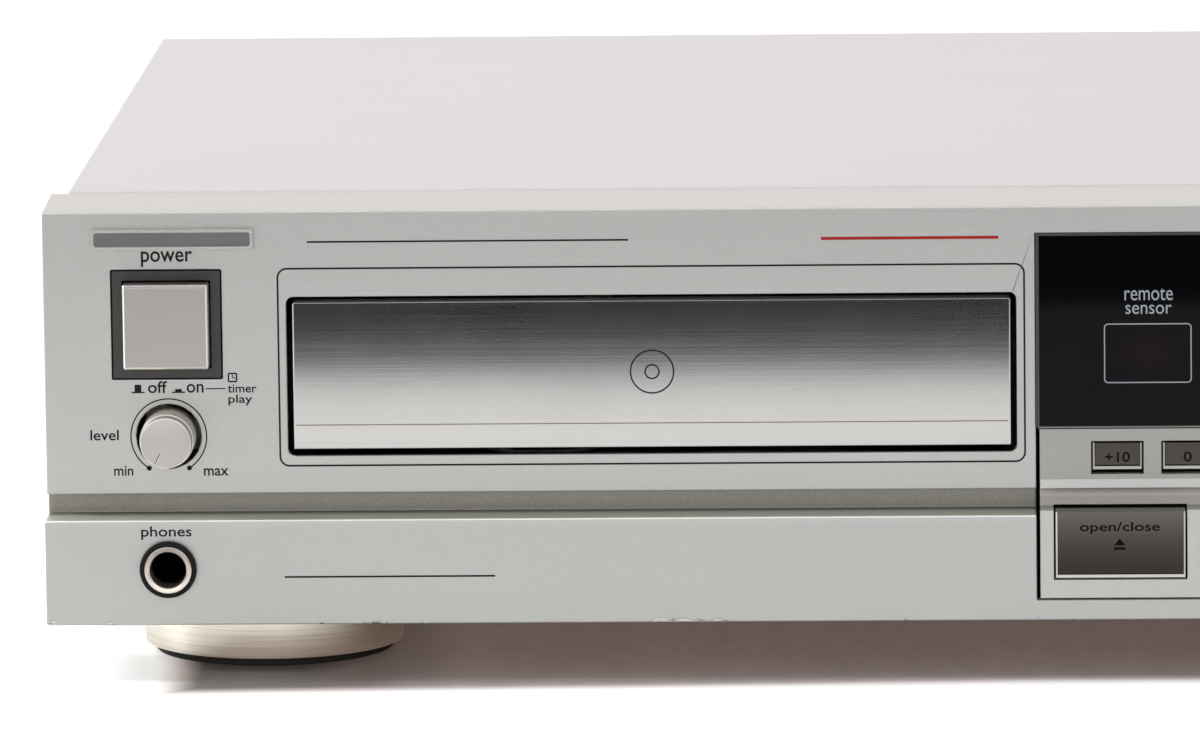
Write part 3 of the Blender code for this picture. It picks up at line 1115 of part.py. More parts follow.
def make_loading_train(model):
    bore = POST_RADIUS + RUN_GAP
    foot = SHELF_TOP + SEAT_GAP
    centre = (TRAY_GEAR_X, GEAR_Y)
    gear = prism(gear_outline(centre, BIG_GEAR_TEETH, TRAIN_MODULE, 0), "Z", BIG_GEAR_Z, PINION_Z)
    pinion = prism(gear_outline(centre, PINION_TEETH, RACK_MODULE, math.pi), "Z", PINION_Z - SEAT_GAP,
                   GEAR_TOP)
    hub = rod("Z", centre, GEAR_HUB_RADIUS, foot, BIG_GEAR_Z + SEAT_GAP, SMALL_ROUND_SEGMENTS)
    hole = rod("Z", centre, bore, foot - OVERRUN, GEAR_TOP + OVERRUN, SMALL_ROUND_SEGMENTS)
    model.piece("tray_gear", gear, white_plastic(), add=[pinion, hub], cut=[hole], origin=(*centre, foot))

    centre = (PULLEY_X, GEAR_Y)
    wheel_top = foot + PULLEY_THICKNESS
    wheel = pulley_shape(centre, PULLEY_RADIUS, foot, bore)
    half_step = math.pi / SMALL_GEAR_TEETH
    turn = math.pi + half_step * (SMALL_GEAR_TEETH % 2 + 1)
    small = prism(gear_outline(centre, SMALL_GEAR_TEETH, TRAIN_MODULE, turn), "Z", wheel_top - SEAT_GAP,
                  PINION_Z)
    hole = rod("Z", centre, bore, foot - OVERRUN, PINION_Z + OVERRUN, SMALL_ROUND_SEGMENTS)
    model.piece("belt_pulley", wheel, white_plastic(), add=[small], cut=[hole], origin=(*centre, foot))

    centre = (MOTOR_X, GEAR_Y)
    motor_top = SHELF_TOP - SHELF_THICKNESS - SEAT_GAP
    wheel = pulley_shape(centre, MOTOR_PULLEY_RADIUS, foot, 0)
    shaft = rod("Z", centre, MOTOR_SHAFT_RADIUS, motor_top - MOTOR_SHAFT_DEPTH, foot + SEAT_GAP,
                SMALL_ROUND_SEGMENTS)
    model.piece("motor_pulley", wheel, plated_steel(), add=[shaft], origin=(*centre, foot))
    can = rod("Z", centre, MOTOR_RADIUS, motor_top - MOTOR_HEIGHT, motor_top)
    well = rod("Z", centre, MOTOR_SHAFT_RADIUS + RUN_GAP, motor_top - MOTOR_SHAFT_DEPTH - SEAT_GAP,
               motor_top + OVERRUN, SMALL_ROUND_SEGMENTS)
    model.piece("loading_motor", can, plated_steel(), cut=[well], smooth=True)

    middle = foot + PULLEY_THICKNESS / 2
    inner = belt_outline(0)
    outer = belt_outline(BELT_SIZE)
    loop = prism(outer, "Z", middle - BELT_SIZE / 2, middle + BELT_SIZE / 2)
    hollow = prism(inner, "Z", middle - BELT_SIZE, middle + BELT_SIZE)
    model.piece("drive_belt", loop, rubber(), cut=[hollow])


def pulley_shape(centre, radius, foot, bore):
    """Wheel with a groove that the belt lies in."""
    groove = radius - PULLEY_FLANGE
    middle = foot + PULLEY_THICKNESS / 2
    half = BELT_SIZE / 2 + SEAT_GAP
    top = foot + PULLEY_THICKNESS
    profile = [(radius, foot), (radius, middle - half), (groove, middle - half), (groove, middle + half),
               (radius, middle + half), (radius, top)]
    if bore:
        return turned([(bore, foot)] + profile + [(bore, top)], "Z", centre, ring=True)
    return turned([(0, foot)] + profile + [(0, top)], "Z", centre)


def belt_outline(grow):
    """Belt round the two pulleys, `grow` outside its inner line."""
    big = PULLEY_RADIUS - PULLEY_FLANGE + SEAT_GAP + grow
    small = MOTOR_PULLEY_RADIUS - PULLEY_FLANGE + SEAT_GAP + grow
    lean = math.asin((big - small) / MOTOR_DISTANCE)
    points = []
    for centre, radius, start, end in ((PULLEY_X, big, math.pi / 2 - lean, 3 * math.pi / 2 + lean),
                                       (MOTOR_X, small, -math.pi / 2 + lean, math.pi / 2 - lean)):
        for k in range(SMALL_ROUND_SEGMENTS + 1):
            angle = start + (end - start) * k / SMALL_ROUND_SEGMENTS
            points.append((centre + radius * math.cos(angle), GEAR_Y + radius * math.sin(angle)))
    return points


def make_traverse(model):
    spindle = (MECH_X, DISC_CENTRE_Y)
    left, right = MECH_X - DECK_LEFT_REACH, MECH_X + DECK_RIGHT_REACH
    pivot = (MECH_X, PIVOT_Y, PIVOT_Z)
    deck = box((left, right), (DECK_FRONT, DECK_REAR), (DECK_BOTTOM, DECK_TOP))
    adds = []
    left_ear, right_ear = (left, left + PIVOT_EAR_WIDTH), (right - PIVOT_EAR_WIDTH, right)
    for ear, pin in ((left_ear, (left - PIVOT_PIN_LENGTH, left_ear[1])),
                     (right_ear, (right_ear[0], right + PIVOT_PIN_LENGTH))):
        adds.append(box(ear, (DECK_REAR - PIVOT_EAR_WIDTH, PIVOT_Y), (DECK_BOTTOM, DECK_TOP)))
        adds.append(rod("X", (PIVOT_Y, PIVOT_Z), PIVOT_RADIUS, *pin, SMALL_ROUND_SEGMENTS))
    block_x = around(ROD_X, ROD_BLOCK)
    block_z = (DECK_BOTTOM, ROD_Z + ROD_RADIUS)
    for y in ((ROD_FRONT - SEAT_GAP - ROD_BLOCK, ROD_FRONT - SEAT_GAP),
              (ROD_REAR + SEAT_GAP, ROD_REAR + SEAT_GAP + ROD_BLOCK)):
        adds.append(box(block_x, y, block_z))
    adds.append(rod("Z", (FEED_X, FEED_Y), FEED_POST_RADIUS, DECK_BOTTOM, FEED_RACK_Z + FEED_RACK_HEIGHT,
                    SMALL_ROUND_SEGMENTS))
    cuts = [box((MECH_X - DECK_WINDOW_HALF_WIDTH, MECH_X + DECK_WINDOW_HALF_WIDTH),
                (DECK_WINDOW_FRONT, DECK_WINDOW_REAR), (DECK_BOTTOM - OVERRUN, DECK_TOP + OVERRUN)),
            rod("Z", spindle, SPINDLE_COLLAR_RADIUS + RUN_GAP, DECK_BOTTOM - OVERRUN, DECK_TOP + OVERRUN)]
    model.piece("traverse_deck", deck, plated_steel(), add=adds, cut=cuts, origin=pivot)

    motor_top = DECK_BOTTOM - SEAT_GAP
    shaft_foot = motor_top - SPINDLE_MOTOR_HEIGHT / 2
    can = rod("Z", spindle, SPINDLE_MOTOR_RADIUS, motor_top - SPINDLE_MOTOR_HEIGHT, motor_top)
    well = rod("Z", spindle, SPINDLE_SHAFT_RADIUS + RUN_GAP, shaft_foot - SEAT_GAP, motor_top + OVERRUN,
               SMALL_ROUND_SEGMENTS)
    model.piece("spindle_motor", can, plated_steel(), cut=[well], smooth=True)

    under = TURNTABLE_TOP - TURNTABLE_THICKNESS
    hub_top = TURNTABLE_TOP + TURNTABLE_HUB_HEIGHT
    collar = DECK_TOP + SEAT_GAP
    profile = [(0, shaft_foot), (SPINDLE_SHAFT_RADIUS, shaft_foot), (SPINDLE_SHAFT_RADIUS, collar),
               (SPINDLE_COLLAR_RADIUS, collar), (SPINDLE_COLLAR_RADIUS, under), (TURNTABLE_RADIUS, under),
               (TURNTABLE_RADIUS, TURNTABLE_TOP), (TURNTABLE_HUB_RADIUS, TURNTABLE_TOP),
               (TURNTABLE_HUB_RADIUS - TURNTABLE_HUB_TAPER, hub_top), (0, hub_top)]
    model.piece("turntable", turned(profile, "Z", spindle), black_plastic(), origin=(*spindle, under),
                smooth=True)


def make_pickup(model):
    sled_y = (SLED_FRONT, SLED_FRONT + SLED_LENGTH)
    sled_x = (MECH_X - SLED_LEFT_REACH, MECH_X + SLED_RIGHT_REACH)
    body = box(sled_x, sled_y, (SLED_BOTTOM, SLED_TOP))
    lens_centre = (MECH_X, DISC_CENTRE_Y + LENS_RADIUS_FROM_SPINDLE)
    turret = rod("Z", lens_centre, TURRET_RADIUS, SLED_BOTTOM + SEAT_GAP, TURRET_TOP)
    dome = rod("Z", lens_centre, LENS_RADIUS, TURRET_TOP - SEAT_GAP, TURRET_TOP + LENS_RIM,
               SMALL_ROUND_SEGMENTS)
    shoe = box((sled_x[1] - SLED_SHOE_WIDTH, sled_x[1]), sled_y,
               (DECK_TOP + SEAT_GAP, SLED_BOTTOM + SEAT_GAP))
    teeth = rack_outline(sled_x[1] - FEED_RACK_BACK, FEED_PITCH_X, FEED_Y, FEED_MODULE, FEED_RACK_FRONT,
                         FEED_RACK_FRONT + FEED_RACK_LENGTH)
    rack = prism(teeth, "Z", FEED_RACK_Z, FEED_RACK_Z + FEED_RACK_HEIGHT)
    bore = rod("Y", (ROD_X, ROD_Z), ROD_RADIUS + RUN_GAP, sled_y[0] - OVERRUN, sled_y[1] + OVERRUN,
               SMALL_ROUND_SEGMENTS)
    model.piece("pickup_sled", body, black_plastic(), add=[turret, dome, shoe, rack], cut=[bore],
                origin=(MECH_X, SLED_FRONT, SLED_BOTTOM))

    model.piece("guide_rod", rod("Y", (ROD_X, ROD_Z), ROD_RADIUS, ROD_FRONT, ROD_REAR, SMALL_ROUND_SEGMENTS),
                bright_steel(), smooth=True)

    centre = (FEED_X, FEED_Y)
    wheel = prism(gear_outline(centre, FEED_TEETH, FEED_MODULE, math.pi), "Z", FEED_RACK_Z,
                  FEED_RACK_Z + FEED_THICKNESS)
    hub_z = (DECK_TOP + SEAT_GAP, FEED_RACK_Z + SEAT_GAP)
    hub = rod("Z", centre, GEAR_HUB_RADIUS, *hub_z, SMALL_ROUND_SEGMENTS)
    hole = rod("Z", centre, FEED_POST_RADIUS + RUN_GAP, DECK_TOP - OVERRUN,
               FEED_RACK_Z + FEED_THICKNESS + OVERRUN, SMALL_ROUND_SEGMENTS)
    model.piece("feed_gear", wheel, white_plastic(), add=[hub], cut=[hole], origin=(*centre, FEED_RACK_Z))


def main():
    clear_scene()
    model = Model()
    make_front_panel(model)
    make_nameplate(model)
    make_power(model)
    make_level_knob(model)
    make_phones_jack(model)
    make_side_board(model)
    make_control_panel(model)
    make_keys(model)
    make_display(model)
    make_case(model)
    make_rear_connectors(model)
    make_boards_and_transformer(model)
    make_feet(model)
    make_drawer(model)
    make_loader_frame(model)
    make_clamp(model)
    make_loading_train(model)
    make_traverse(model)
    make_pickup(model)
    bpy.context.view_layer.update()


main()
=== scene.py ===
"""Looks of a full-width disc player: finishes, printing, fine trim, studio light and camera.

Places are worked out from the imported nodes. A place on the front is given as right, back and
up in millimetres from the front panel's lower left corner.
"""
import math

import bmesh
import bpy
from bpy.props import FloatProperty, FloatVectorProperty, PointerProperty
from mathutils import Matrix, Vector


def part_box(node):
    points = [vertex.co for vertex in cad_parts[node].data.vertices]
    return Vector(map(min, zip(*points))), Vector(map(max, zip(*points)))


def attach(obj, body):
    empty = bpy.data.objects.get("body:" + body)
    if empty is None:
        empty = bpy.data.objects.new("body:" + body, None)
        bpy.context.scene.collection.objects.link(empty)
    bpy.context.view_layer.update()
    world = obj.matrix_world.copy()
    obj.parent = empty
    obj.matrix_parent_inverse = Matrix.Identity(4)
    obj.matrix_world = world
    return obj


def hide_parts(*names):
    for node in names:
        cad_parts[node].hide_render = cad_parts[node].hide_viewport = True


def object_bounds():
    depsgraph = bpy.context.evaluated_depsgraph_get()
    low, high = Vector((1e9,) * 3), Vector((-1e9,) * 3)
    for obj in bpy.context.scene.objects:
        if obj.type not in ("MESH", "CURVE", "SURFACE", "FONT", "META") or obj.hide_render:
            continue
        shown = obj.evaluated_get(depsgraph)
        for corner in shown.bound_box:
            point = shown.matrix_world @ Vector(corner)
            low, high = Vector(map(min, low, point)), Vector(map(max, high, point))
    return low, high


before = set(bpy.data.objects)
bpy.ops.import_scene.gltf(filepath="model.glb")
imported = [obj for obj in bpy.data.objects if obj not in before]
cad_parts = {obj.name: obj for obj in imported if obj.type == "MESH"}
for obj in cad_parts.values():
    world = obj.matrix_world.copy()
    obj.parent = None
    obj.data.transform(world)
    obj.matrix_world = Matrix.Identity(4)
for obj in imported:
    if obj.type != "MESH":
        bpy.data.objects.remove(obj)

bl_info = {
    "name": "Disc player looks",
    "version": (1, 0, 0),
    "blender": (4, 5, 0),
    "location": "View3D > Sidebar > Disc player",
    "description": "Dresses the packed disc player and sets its studio",
    "category": "Object",
}

MM = 0.001
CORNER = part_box("front_panel")[0]
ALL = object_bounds()
LIFT = 0.02 * MM  # between two faces that would share a place
TURN = 2 * math.pi
WHITE = (1.0, 1.0, 1.0, 1.0)


def linear(level):
    """Linear value of one 0 to 255 display level."""
    share = level / 255
    return share / 12.92 if share <= 0.04045 else ((share + 0.055) / 1.055) ** 2.4


def shade(red, green, blue):
    return (linear(red), linear(green), linear(blue), 1.0)


def on_front(right, back, up):
    """Point given in millimetres from the front panel's lower left corner."""
    return CORNER + Vector((right, back, up)) * MM


def middle(node):
    low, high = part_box(node)
    return (low + high) / 2


UPPER_FACE = on_front(0, 6.3, 0).y


def colour(name, description, default):
    return FloatVectorProperty(name=name, description=description, subtype="COLOR", size=4,
                               min=0.0, max=1.0, default=default)


def length(name, description, default):
    return FloatProperty(name=name, description=description, subtype="DISTANCE", unit="LENGTH",
                         min=0.0, precision=5, default=default * MM)


def strength(name, description, default, unit="NONE"):
    return FloatProperty(name=name, description=description, unit=unit, min=0.0, default=default)


class PlayerColours(bpy.types.PropertyGroup):
    """Colours of the player's finishes."""

    panel_paint: colour("Panel paint", "Satin silver of the front panel", shade(190, 191, 188))
    # Partly painted highlight: the strip's lightness stands for the light it catches where it faces up.
    strip_paint: colour("Strip paint", "Warmer silver of the strip above the front", shade(206, 200, 196))
    # Grainy grey paint, darkened as painted shade of the recess.
    groove_paint: colour("Groove paint", "Grainy grey of the groove", shade(145, 143, 135))
    control_paint: colour("Control paint", "Silver of the control panel", shade(192, 192, 188))
    # Painted shade: the control panel's recessed groove is given a darker colour.
    control_groove: colour("Control groove", "Duller paint in the control panel's groove", shade(178, 174, 168))
    # Painted reflection: the down-facing slope is lightened to stand for the lit table it faces.
    slope_paint: colour("Slope paint", "Bright slope above the control panel's groove", shade(226, 224, 218))
    cover_paint: colour("Cover paint", "Pale paint of the top cover", shade(204, 199, 202))
    drawer_metal: colour("Drawer metal", "Brushed metal of the drawer front", shade(183, 182, 180))
    button_metal: colour("Button metal", "Warm satin metal of the power button", shade(168, 163, 160))
    key_metal: colour("Key metal", "Dark brushed metal of the keys", shade(70, 67, 65))
    # Painted highlight on the keys' bevels that face sideways or down.
    key_edge: colour("Key edge", "Bright bevel of the keys", shade(244, 240, 236))
    foot_metal: colour("Foot metal", "Brushed champagne metal of the front feet", shade(235, 229, 216))
    bright_metal: colour("Bright metal", "Plated nameplate", shade(214, 210, 206))
    bezel_plastic: colour("Bezel plastic", "Dark grey frame round the power button", shade(48, 47, 47))
    black_plastic: colour("Black plastic", "Moulded black parts", shade(24, 24, 26))
    rubber: colour("Rubber", "Foot pads and belt", shade(10, 10, 10))
    glass: colour("Glass", "Smoked display window", shade(9, 9, 13))
    nameplate_field: colour("Nameplate field", "Brushed field of the nameplate", shade(120, 118, 120))
    ink: colour("Ink", "Dark printing on the panel", shade(38, 38, 40))
    pale_ink: colour("Pale ink", "Printing on the display window", shade(176, 184, 190))
    red_ink: colour("Red ink", "Red rule on the panel", shade(176, 52, 48))
    zinc: colour("Zinc", "Plated sheet of the chassis and rear panel", shade(176, 176, 172))
    board: colour("Board", "Circuit boards", shade(44, 92, 50))
    white_plastic: colour("White plastic", "Gears and pulleys", shade(222, 218, 208))
    gold: colour("Gold", "Plated sockets", shade(206, 168, 96))


class PlayerSizes(bpy.types.PropertyGroup):
    """Sizes of the printing and the fine trim."""

    edge_round: length("Edge round", "Rounding of the panel's edges", 0.35)
    small_round: length("Small round", "Rounding of small trim", 0.12)
    line_width: length("Line width", "Width of the engraved line", 0.36)
    line_margin: length("Line margin", "From the drawer to the engraved line at the sides", 2.76)
    line_round: length("Line round", "Corner radius of the engraved line", 1.8)
    arc_radius: length("Arc radius", "Radius of the level scale", 7.4)
    arc_width: length("Arc width", "Width of the level scale's line", 0.26)
    print_depth: length("Print depth", "Thickness of printed ink", 0.03)


class StudioSettings(bpy.types.PropertyGroup):
    """Light and floor."""

    top_power: strength("Top power", "Power of the overhead lamp in watts", 8.6, "POWER")
    front_power: strength("Front power", "Power of the front lamp in watts", 9.9, "POWER")
    side_power: strength("Side power", "Power of the lamp on the left in watts", 55.0, "POWER")
    floor_lift: strength("Floor lift", "Glow of the open floor in reflections", 0.28)
    # Painted fill light: a faint tinted glow laid on the table's painted shadow.
    haze: colour("Shadow glow", "Tint of the glow in the shadow", (1.0, 0.72, 0.64, 1.0))
    haze_strength: strength("Haze strength", "Glow in the shadow", 0.1)
    room: strength("Room", "Strength of the light from all round", 0.36)
    table_front: length("Table front", "From the player's front to the front edge of the table", 480.0)


# Nodes of the finishes

def place(tree, kind, **settings):
    node = tree.nodes.new(kind)
    for key, value in settings.items():
        setattr(node, key, value)
    return node


def feed(inputs, values):
    """Links wires to a node's inputs, or sets numbers and colours on them."""
    for key, value in values.items():
        if isinstance(value, Wire):
            value.tree.links.new(value.socket, inputs[key])
        else:
            inputs[key].default_value = value


def result(tree, kind, inputs, output=0, **settings):
    """Wire from an output of a new node."""
    node = place(tree, kind, **settings)
    feed(node.inputs, inputs)
    return Wire(node.outputs[output])


class Wire:
    """Output of a node. It adds, multiplies and so on like a number, by placing Math nodes."""

    def __init__(self, socket):
        self.socket = socket
        self.tree = socket.id_data

    def __add__(self, other):
        return maths("ADD", self, other)

    def __sub__(self, other):
        return maths("SUBTRACT", self, other)

    def __rsub__(self, other):
        return maths("SUBTRACT", other, self)

    def __mul__(self, other):
        return maths("MULTIPLY", self, other)

    def __truediv__(self, other):
        return maths("DIVIDE", self, other)

    def __pow__(self, other):
        return maths("POWER", self, other)

    def __abs__(self):
        return maths("ABSOLUTE", self)


def maths(operation, first, second=0.0):
    tree = first.tree if isinstance(first, Wire) else second.tree
    return result(tree, "ShaderNodeMath", {0: first, 1: second}, operation=operation)


def spread(value, low, high, to_low=0.0, to_high=1.0, kind="LINEAR"):
    """Value between `low` and `high` brought to the range from `to_low` to `to_high`, and held there."""
    ends = {"From Min": low, "From Max": high, "To Min": to_low, "To Max": to_high}
    return result(value.tree, "ShaderNodeMapRange", {"Value": value, **ends}, interpolation_type=kind)


def between(share, start, end):
    return spread(share, 0.0, 1.0, start, end)


def rightward(x, start, end):
    """0 to 1 between two places in millimetres from the panel's corner, as in the two below."""
    return spread(x, CORNER.x + start * MM, CORNER.x + end * MM)


def inward(y, start, end):
    return spread(y, CORNER.y + start * MM, CORNER.y + end * MM)


def upward(z, start, end):
    return spread(z, CORNER.z + start * MM, CORNER.z + end * MM)


def layered(base, *layers):
    """Colour with others laid over it, each given as (mask, colour)."""
    for mask, tint in layers:
        base = result(mask.tree, "ShaderNodeMix", {"Factor": mask, 6: base, 7: tint}, 2, data_type="RGBA")
    return base


def scaled(vector, level):
    return result(level.tree, "ShaderNodeVectorMath", {0: vector, "Scale": level}, operation="SCALE")


def stretched(vector, scale):
    return result(vector.tree, "ShaderNodeVectorMath", {0: vector, 1: scale}, operation="MULTIPLY")


def parts_of(vector):
    node = place(vector.tree, "ShaderNodeSeparateXYZ")
    feed(node.inputs, {0: vector})
    return [Wire(socket) for socket in node.outputs]


def noise(vector, scale, detail=2.0, roughness=0.6):
    return result(vector.tree, "ShaderNodeTexNoise",
                  {"Vector": vector, "Scale": scale, "Detail": detail, "Roughness": roughness}, "Fac")


def streaks(vector, scale, detail=2.0, roughness=0.6):
    """Noise drawn out along the axes where `scale` is small."""
    return noise(stretched(vector, scale), 1.0, detail, roughness)


def group(name, inputs, outputs):
    """New node group, and the sockets inside it; inputs are named defaults, with None for a vector."""
    tree = bpy.data.node_groups.new(name, "ShaderNodeTree")
    kinds = {tuple: "NodeSocketColor", float: "NodeSocketFloat"}
    for label, default in inputs.items():
        kind = kinds.get(type(default), "NodeSocketVector")
        socket = tree.interface.new_socket(name=label, in_out="INPUT", socket_type=kind)
        if default is not None:
            socket.default_value = default
    for label, kind in outputs.items():
        tree.interface.new_socket(name=label, in_out="OUTPUT", socket_type=kind)
    given = [Wire(socket) for socket in tree.nodes.new("NodeGroupInput").outputs if socket.name]
    return tree, given, tree.nodes.new("NodeGroupOutput").inputs


def paint_speckle():
    """Fine metallic speckle and slow mottling of sprayed paint."""
    tree, given, made = group("paint_speckle", {"Vector": None, "Color": (0.5, 0.5, 0.5, 1.0), "Grain": 3200.0,
                                                "Amount": 0.12, "Mottle": 0.04},
                              {"Color": "NodeSocketColor", "Height": "NodeSocketFloat"})
    vector, paint, grain, amount, mottle = given
    fine = noise(vector, grain, 3.0, 0.7)
    slow = noise(vector, 38.0, 3.0)
    level = (fine - 0.5) * amount + (slow - 0.5) * mottle + 1.0
    feed(made, {"Color": scaled(paint, level), "Height": fine})
    return tree


def brushed_lines():
    """Fine parallel lines left by a brush: a level about 1 and a height."""
    tree, (vector, amount), made = group("brushed_lines", {"Vector": None, "Amount": 0.2},
                                         {"Level": "NodeSocketFloat", "Height": "NodeSocketFloat"})
    both = noise(vector, 1.0) * 0.65 + streaks(vector, (0.25, 0.25, 0.25)) * 0.35
    feed(made, {"Level": (both - 0.5) * amount + 1.0, "Height": both})
    return tree


def handling_marks():
    """Sparse soft smudges, for roughness."""
    tree, (vector, scale, amount), made = group("handling_marks", {"Vector": None, "Scale": 30.0, "Amount": 0.06},
                                                {"Roughness change": "NodeSocketFloat"})
    feed(made, {0: (noise(vector, scale, 4.0) - 0.5) * amount})
    return tree


def use_group(maker, tree, **values):
    """Node of the group that `maker` makes. The group is made at its first use."""
    node = place(tree, "ShaderNodeGroup", node_tree=bpy.data.node_groups.get(maker.__name__) or maker())
    feed(node.inputs, values)
    return node


class Finish:
    """New material, with its shader's inputs and a wire that carries the place on the piece."""

    def __init__(self, name):
        self.material = bpy.data.materials.new(name)
        self.material.use_nodes = True
        self.tree = self.material.node_tree
        self.shader = self.tree.nodes["Principled BSDF"].inputs
        self.where = result(self.tree, "ShaderNodeTexCoord", {}, "Object")

    def set(self, **values):
        feed(self.shader, {key.replace("_", " "): value for key, value in values.items()})

    def wired(self, key):
        """Wire that already feeds one of the shader's inputs."""
        return Wire(self.shader[key].links[0].from_socket)

    def lay(self, *layers):
        """Lays colours over the base colour, each given as (mask, colour)."""
        self.set(Base_Color=layered(self.wired("Base Color"), *layers))

    def facing(self):
        """Right, back and up part of the surface's direction."""
        return parts_of(result(self.tree, "ShaderNodeNewGeometry", {}, "Normal"))

    def speckled(self, **values):
        """Colour from the paint's speckle, whose node is kept."""
        self.speckle = use_group(paint_speckle, self.tree, Vector=self.where, **values)
        self.set(Base_Color=Wire(self.speckle.outputs["Color"]))

    def marks(self, scale, amount):
        return Wire(use_group(handling_marks, self.tree, Vector=self.where, Scale=scale, Amount=amount).outputs[0])

    def bumped(self, height, distance):
        self.set(Normal=result(self.tree, "ShaderNodeBump",
                               {"Strength": 1.0, "Distance": distance * MM, "Height": height}))


def painted(name, paint, roughness, metallic=0.0, amount=0.1, grain=3200.0, mottle=0.03, bump=0.004):
    """Sprayed paint with fine speckle."""
    finish = Finish(name)
    finish.speckled(Color=paint, Grain=grain, Amount=amount, Mottle=mottle)
    finish.bumped(Wire(finish.speckle.outputs["Height"]), bump)
    finish.set(Roughness=finish.marks(26.0, 0.08) + roughness, Metallic=metallic)
    return finish


def brushed(name, metal, roughness, scale, amount=0.2, bump=0.006, roughness_change=0.16):
    """Metal brushed along the axis that `scale` leaves smallest."""
    finish = Finish(name)
    lines = use_group(brushed_lines, finish.tree, Vector=stretched(finish.where, scale), Amount=amount)
    level, height = [Wire(socket) for socket in lines.outputs]
    finish.bumped(height, bump)
    finish.set(Base_Color=scaled(metal[:3], level), Metallic=1.0,
               Roughness=(height - 0.5) * roughness_change + finish.marks(60.0, roughness_change / 2) + roughness)
    return finish


# Shapes

def dress(node, finish, soften=0.0):
    """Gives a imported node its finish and, where asked, softly rounded edges."""
    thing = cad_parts[node]
    thing.data.materials.clear()
    thing.data.materials.append(finish.material)
    if soften:
        weld = thing.modifiers.new("weld", "WELD")
        weld.merge_threshold = LIFT / 10
        edge = thing.modifiers.new("soft_edges", "BEVEL")
        edge.width = soften
        edge.segments = 2
        edge.limit_method = "ANGLE"
        edge.angle_limit = math.radians(28)
        edge.harden_normals = True
        edge.use_clamp_overlap = True


def linked(thing):
    bpy.context.scene.collection.objects.link(thing)
    return thing


def keep(name, shape, finish, body, smooth=True):
    """New piece from a bmesh, riding on a body."""
    bmesh.ops.recalc_face_normals(shape, faces=shape.faces[:])
    mesh = bpy.data.meshes.new(name)
    shape.to_mesh(mesh)
    shape.free()
    thing = linked(bpy.data.objects.new(name, mesh))
    mesh.materials.append(finish.material)
    if smooth:
        mesh.shade_smooth()
        mesh.set_sharp_from_angle(angle=math.radians(32))
    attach(thing, body)
    return thing


def lathe(profile, axis, centre, steps):
    """Closed profile of (radius, place along the axis) pairs turned round an axis through a point."""
    shape = bmesh.new()
    first, second, along = {"Y": (0, 2, 1), "Z": (0, 1, 2)}[axis]
    rows = []
    for radius, height in profile:
        row = []
        for step in range(1 if radius == 0 else steps):
            angle = TURN * step / steps
            spot = [0.0, 0.0, 0.0]
            spot[first] = centre[first] + radius * math.cos(angle)
            spot[second] = centre[second] + radius * math.sin(angle)
            spot[along] = height
            row.append(shape.verts.new(spot))
        rows.append(row)
    pairs = list(zip(rows, rows[1:]))
    if profile[0][0] or profile[-1][0]:
        pairs.append((rows[-1], rows[0]))
    for low, high in pairs:
        for step in range(steps):
            after = (step + 1) % steps
            corners = ((low, step), (low, after), (high, after), (high, step))
            face = list(dict.fromkeys(row[number % len(row)] for row, number in corners))
            if len(face) > 2:
                shape.faces.new(face)
    return shape


def turned(name, profile, centre, finish, steps=72, axis="Y", body="root"):
    return keep(name, lathe(profile, axis, centre, steps), finish, body)


def eased(radius, height, soft, rise):
    """Three points of a profile that ease the corner at (radius, height), the last one on its flat end."""
    return [(radius, height + rise), (radius - 0.3 * soft, height + 0.3 * rise), (radius - soft, height)]


def ribbon(first, second, front, depth, closed=True):
    """Flat band between two rows of (right, up) points, facing the front."""
    shape = bmesh.new()
    layers = [[[shape.verts.new((x, y, z)) for x, z in row] for row in (first, second)]
              for y in (front, front + depth)]
    count = len(first)
    for step in range(count if closed else count - 1):
        after = (step + 1) % count
        for layer in layers:
            shape.faces.new((layer[0][step], layer[0][after], layer[1][after], layer[1][step]))
        for number in (0, 1):
            near, far = layers[0][number], layers[1][number]
            shape.faces.new((near[step], near[after], far[after], far[step]))
    if not closed:
        for step in (0, -1):
            shape.faces.new((layers[0][0][step], layers[0][1][step], layers[1][1][step], layers[1][0][step]))
    return shape


def prism(outline, start, end, axis=1):
    """Straight piece between two places along the X (0) or Y (1) axis, with an outline across it."""
    shape = bmesh.new()
    layers = [[shape.verts.new((*point[:axis], along, *point[axis:])) for point in outline]
              for along in (start, end)]
    for layer in layers:
        shape.faces.new(layer)
    for step in range(len(outline)):
        after = (step + 1) % len(outline)
        shape.faces.new((layers[0][step], layers[0][after], layers[1][after], layers[1][step]))
    return shape


def plate(outline, front, depth):
    """Flat piece facing the front with a (right, up) outline."""
    return prism(outline, front, front + depth)


def inlay(name, outline, face, finish, body="root"):
    """Plate on a face, sunk by half its thickness and too thin to be seen from the side."""
    keep(name, plate(outline, face - LIFT, 2 * LIFT), finish, body, smooth=False)


def oblong(left, right, bottom, top):
    return [(left, bottom), (right, bottom), (right, top), (left, top)]


def rounded(left, right, bottom, top, radius, steps=6):
    points = []
    corners = ((right - radius, top - radius, 0), (left + radius, top - radius, 1),
               (left + radius, bottom + radius, 2), (right - radius, bottom + radius, 3))
    for x, z, quarter in corners:
        for step in range(steps + 1):
            angle = math.pi / 2 * (quarter + step / steps)
            points.append((x + radius * math.cos(angle), z + radius * math.sin(angle)))
    return points


def arc(centre, radius, start, end, steps=64):
    return [(centre.x + radius * math.cos(start + (end - start) * step / steps),
             centre.z + radius * math.sin(start + (end - start) * step / steps))
            for step in range(steps + 1)]


def circle(centre, radius, steps):
    return arc(centre, radius, 0, TURN, steps)[:-1]


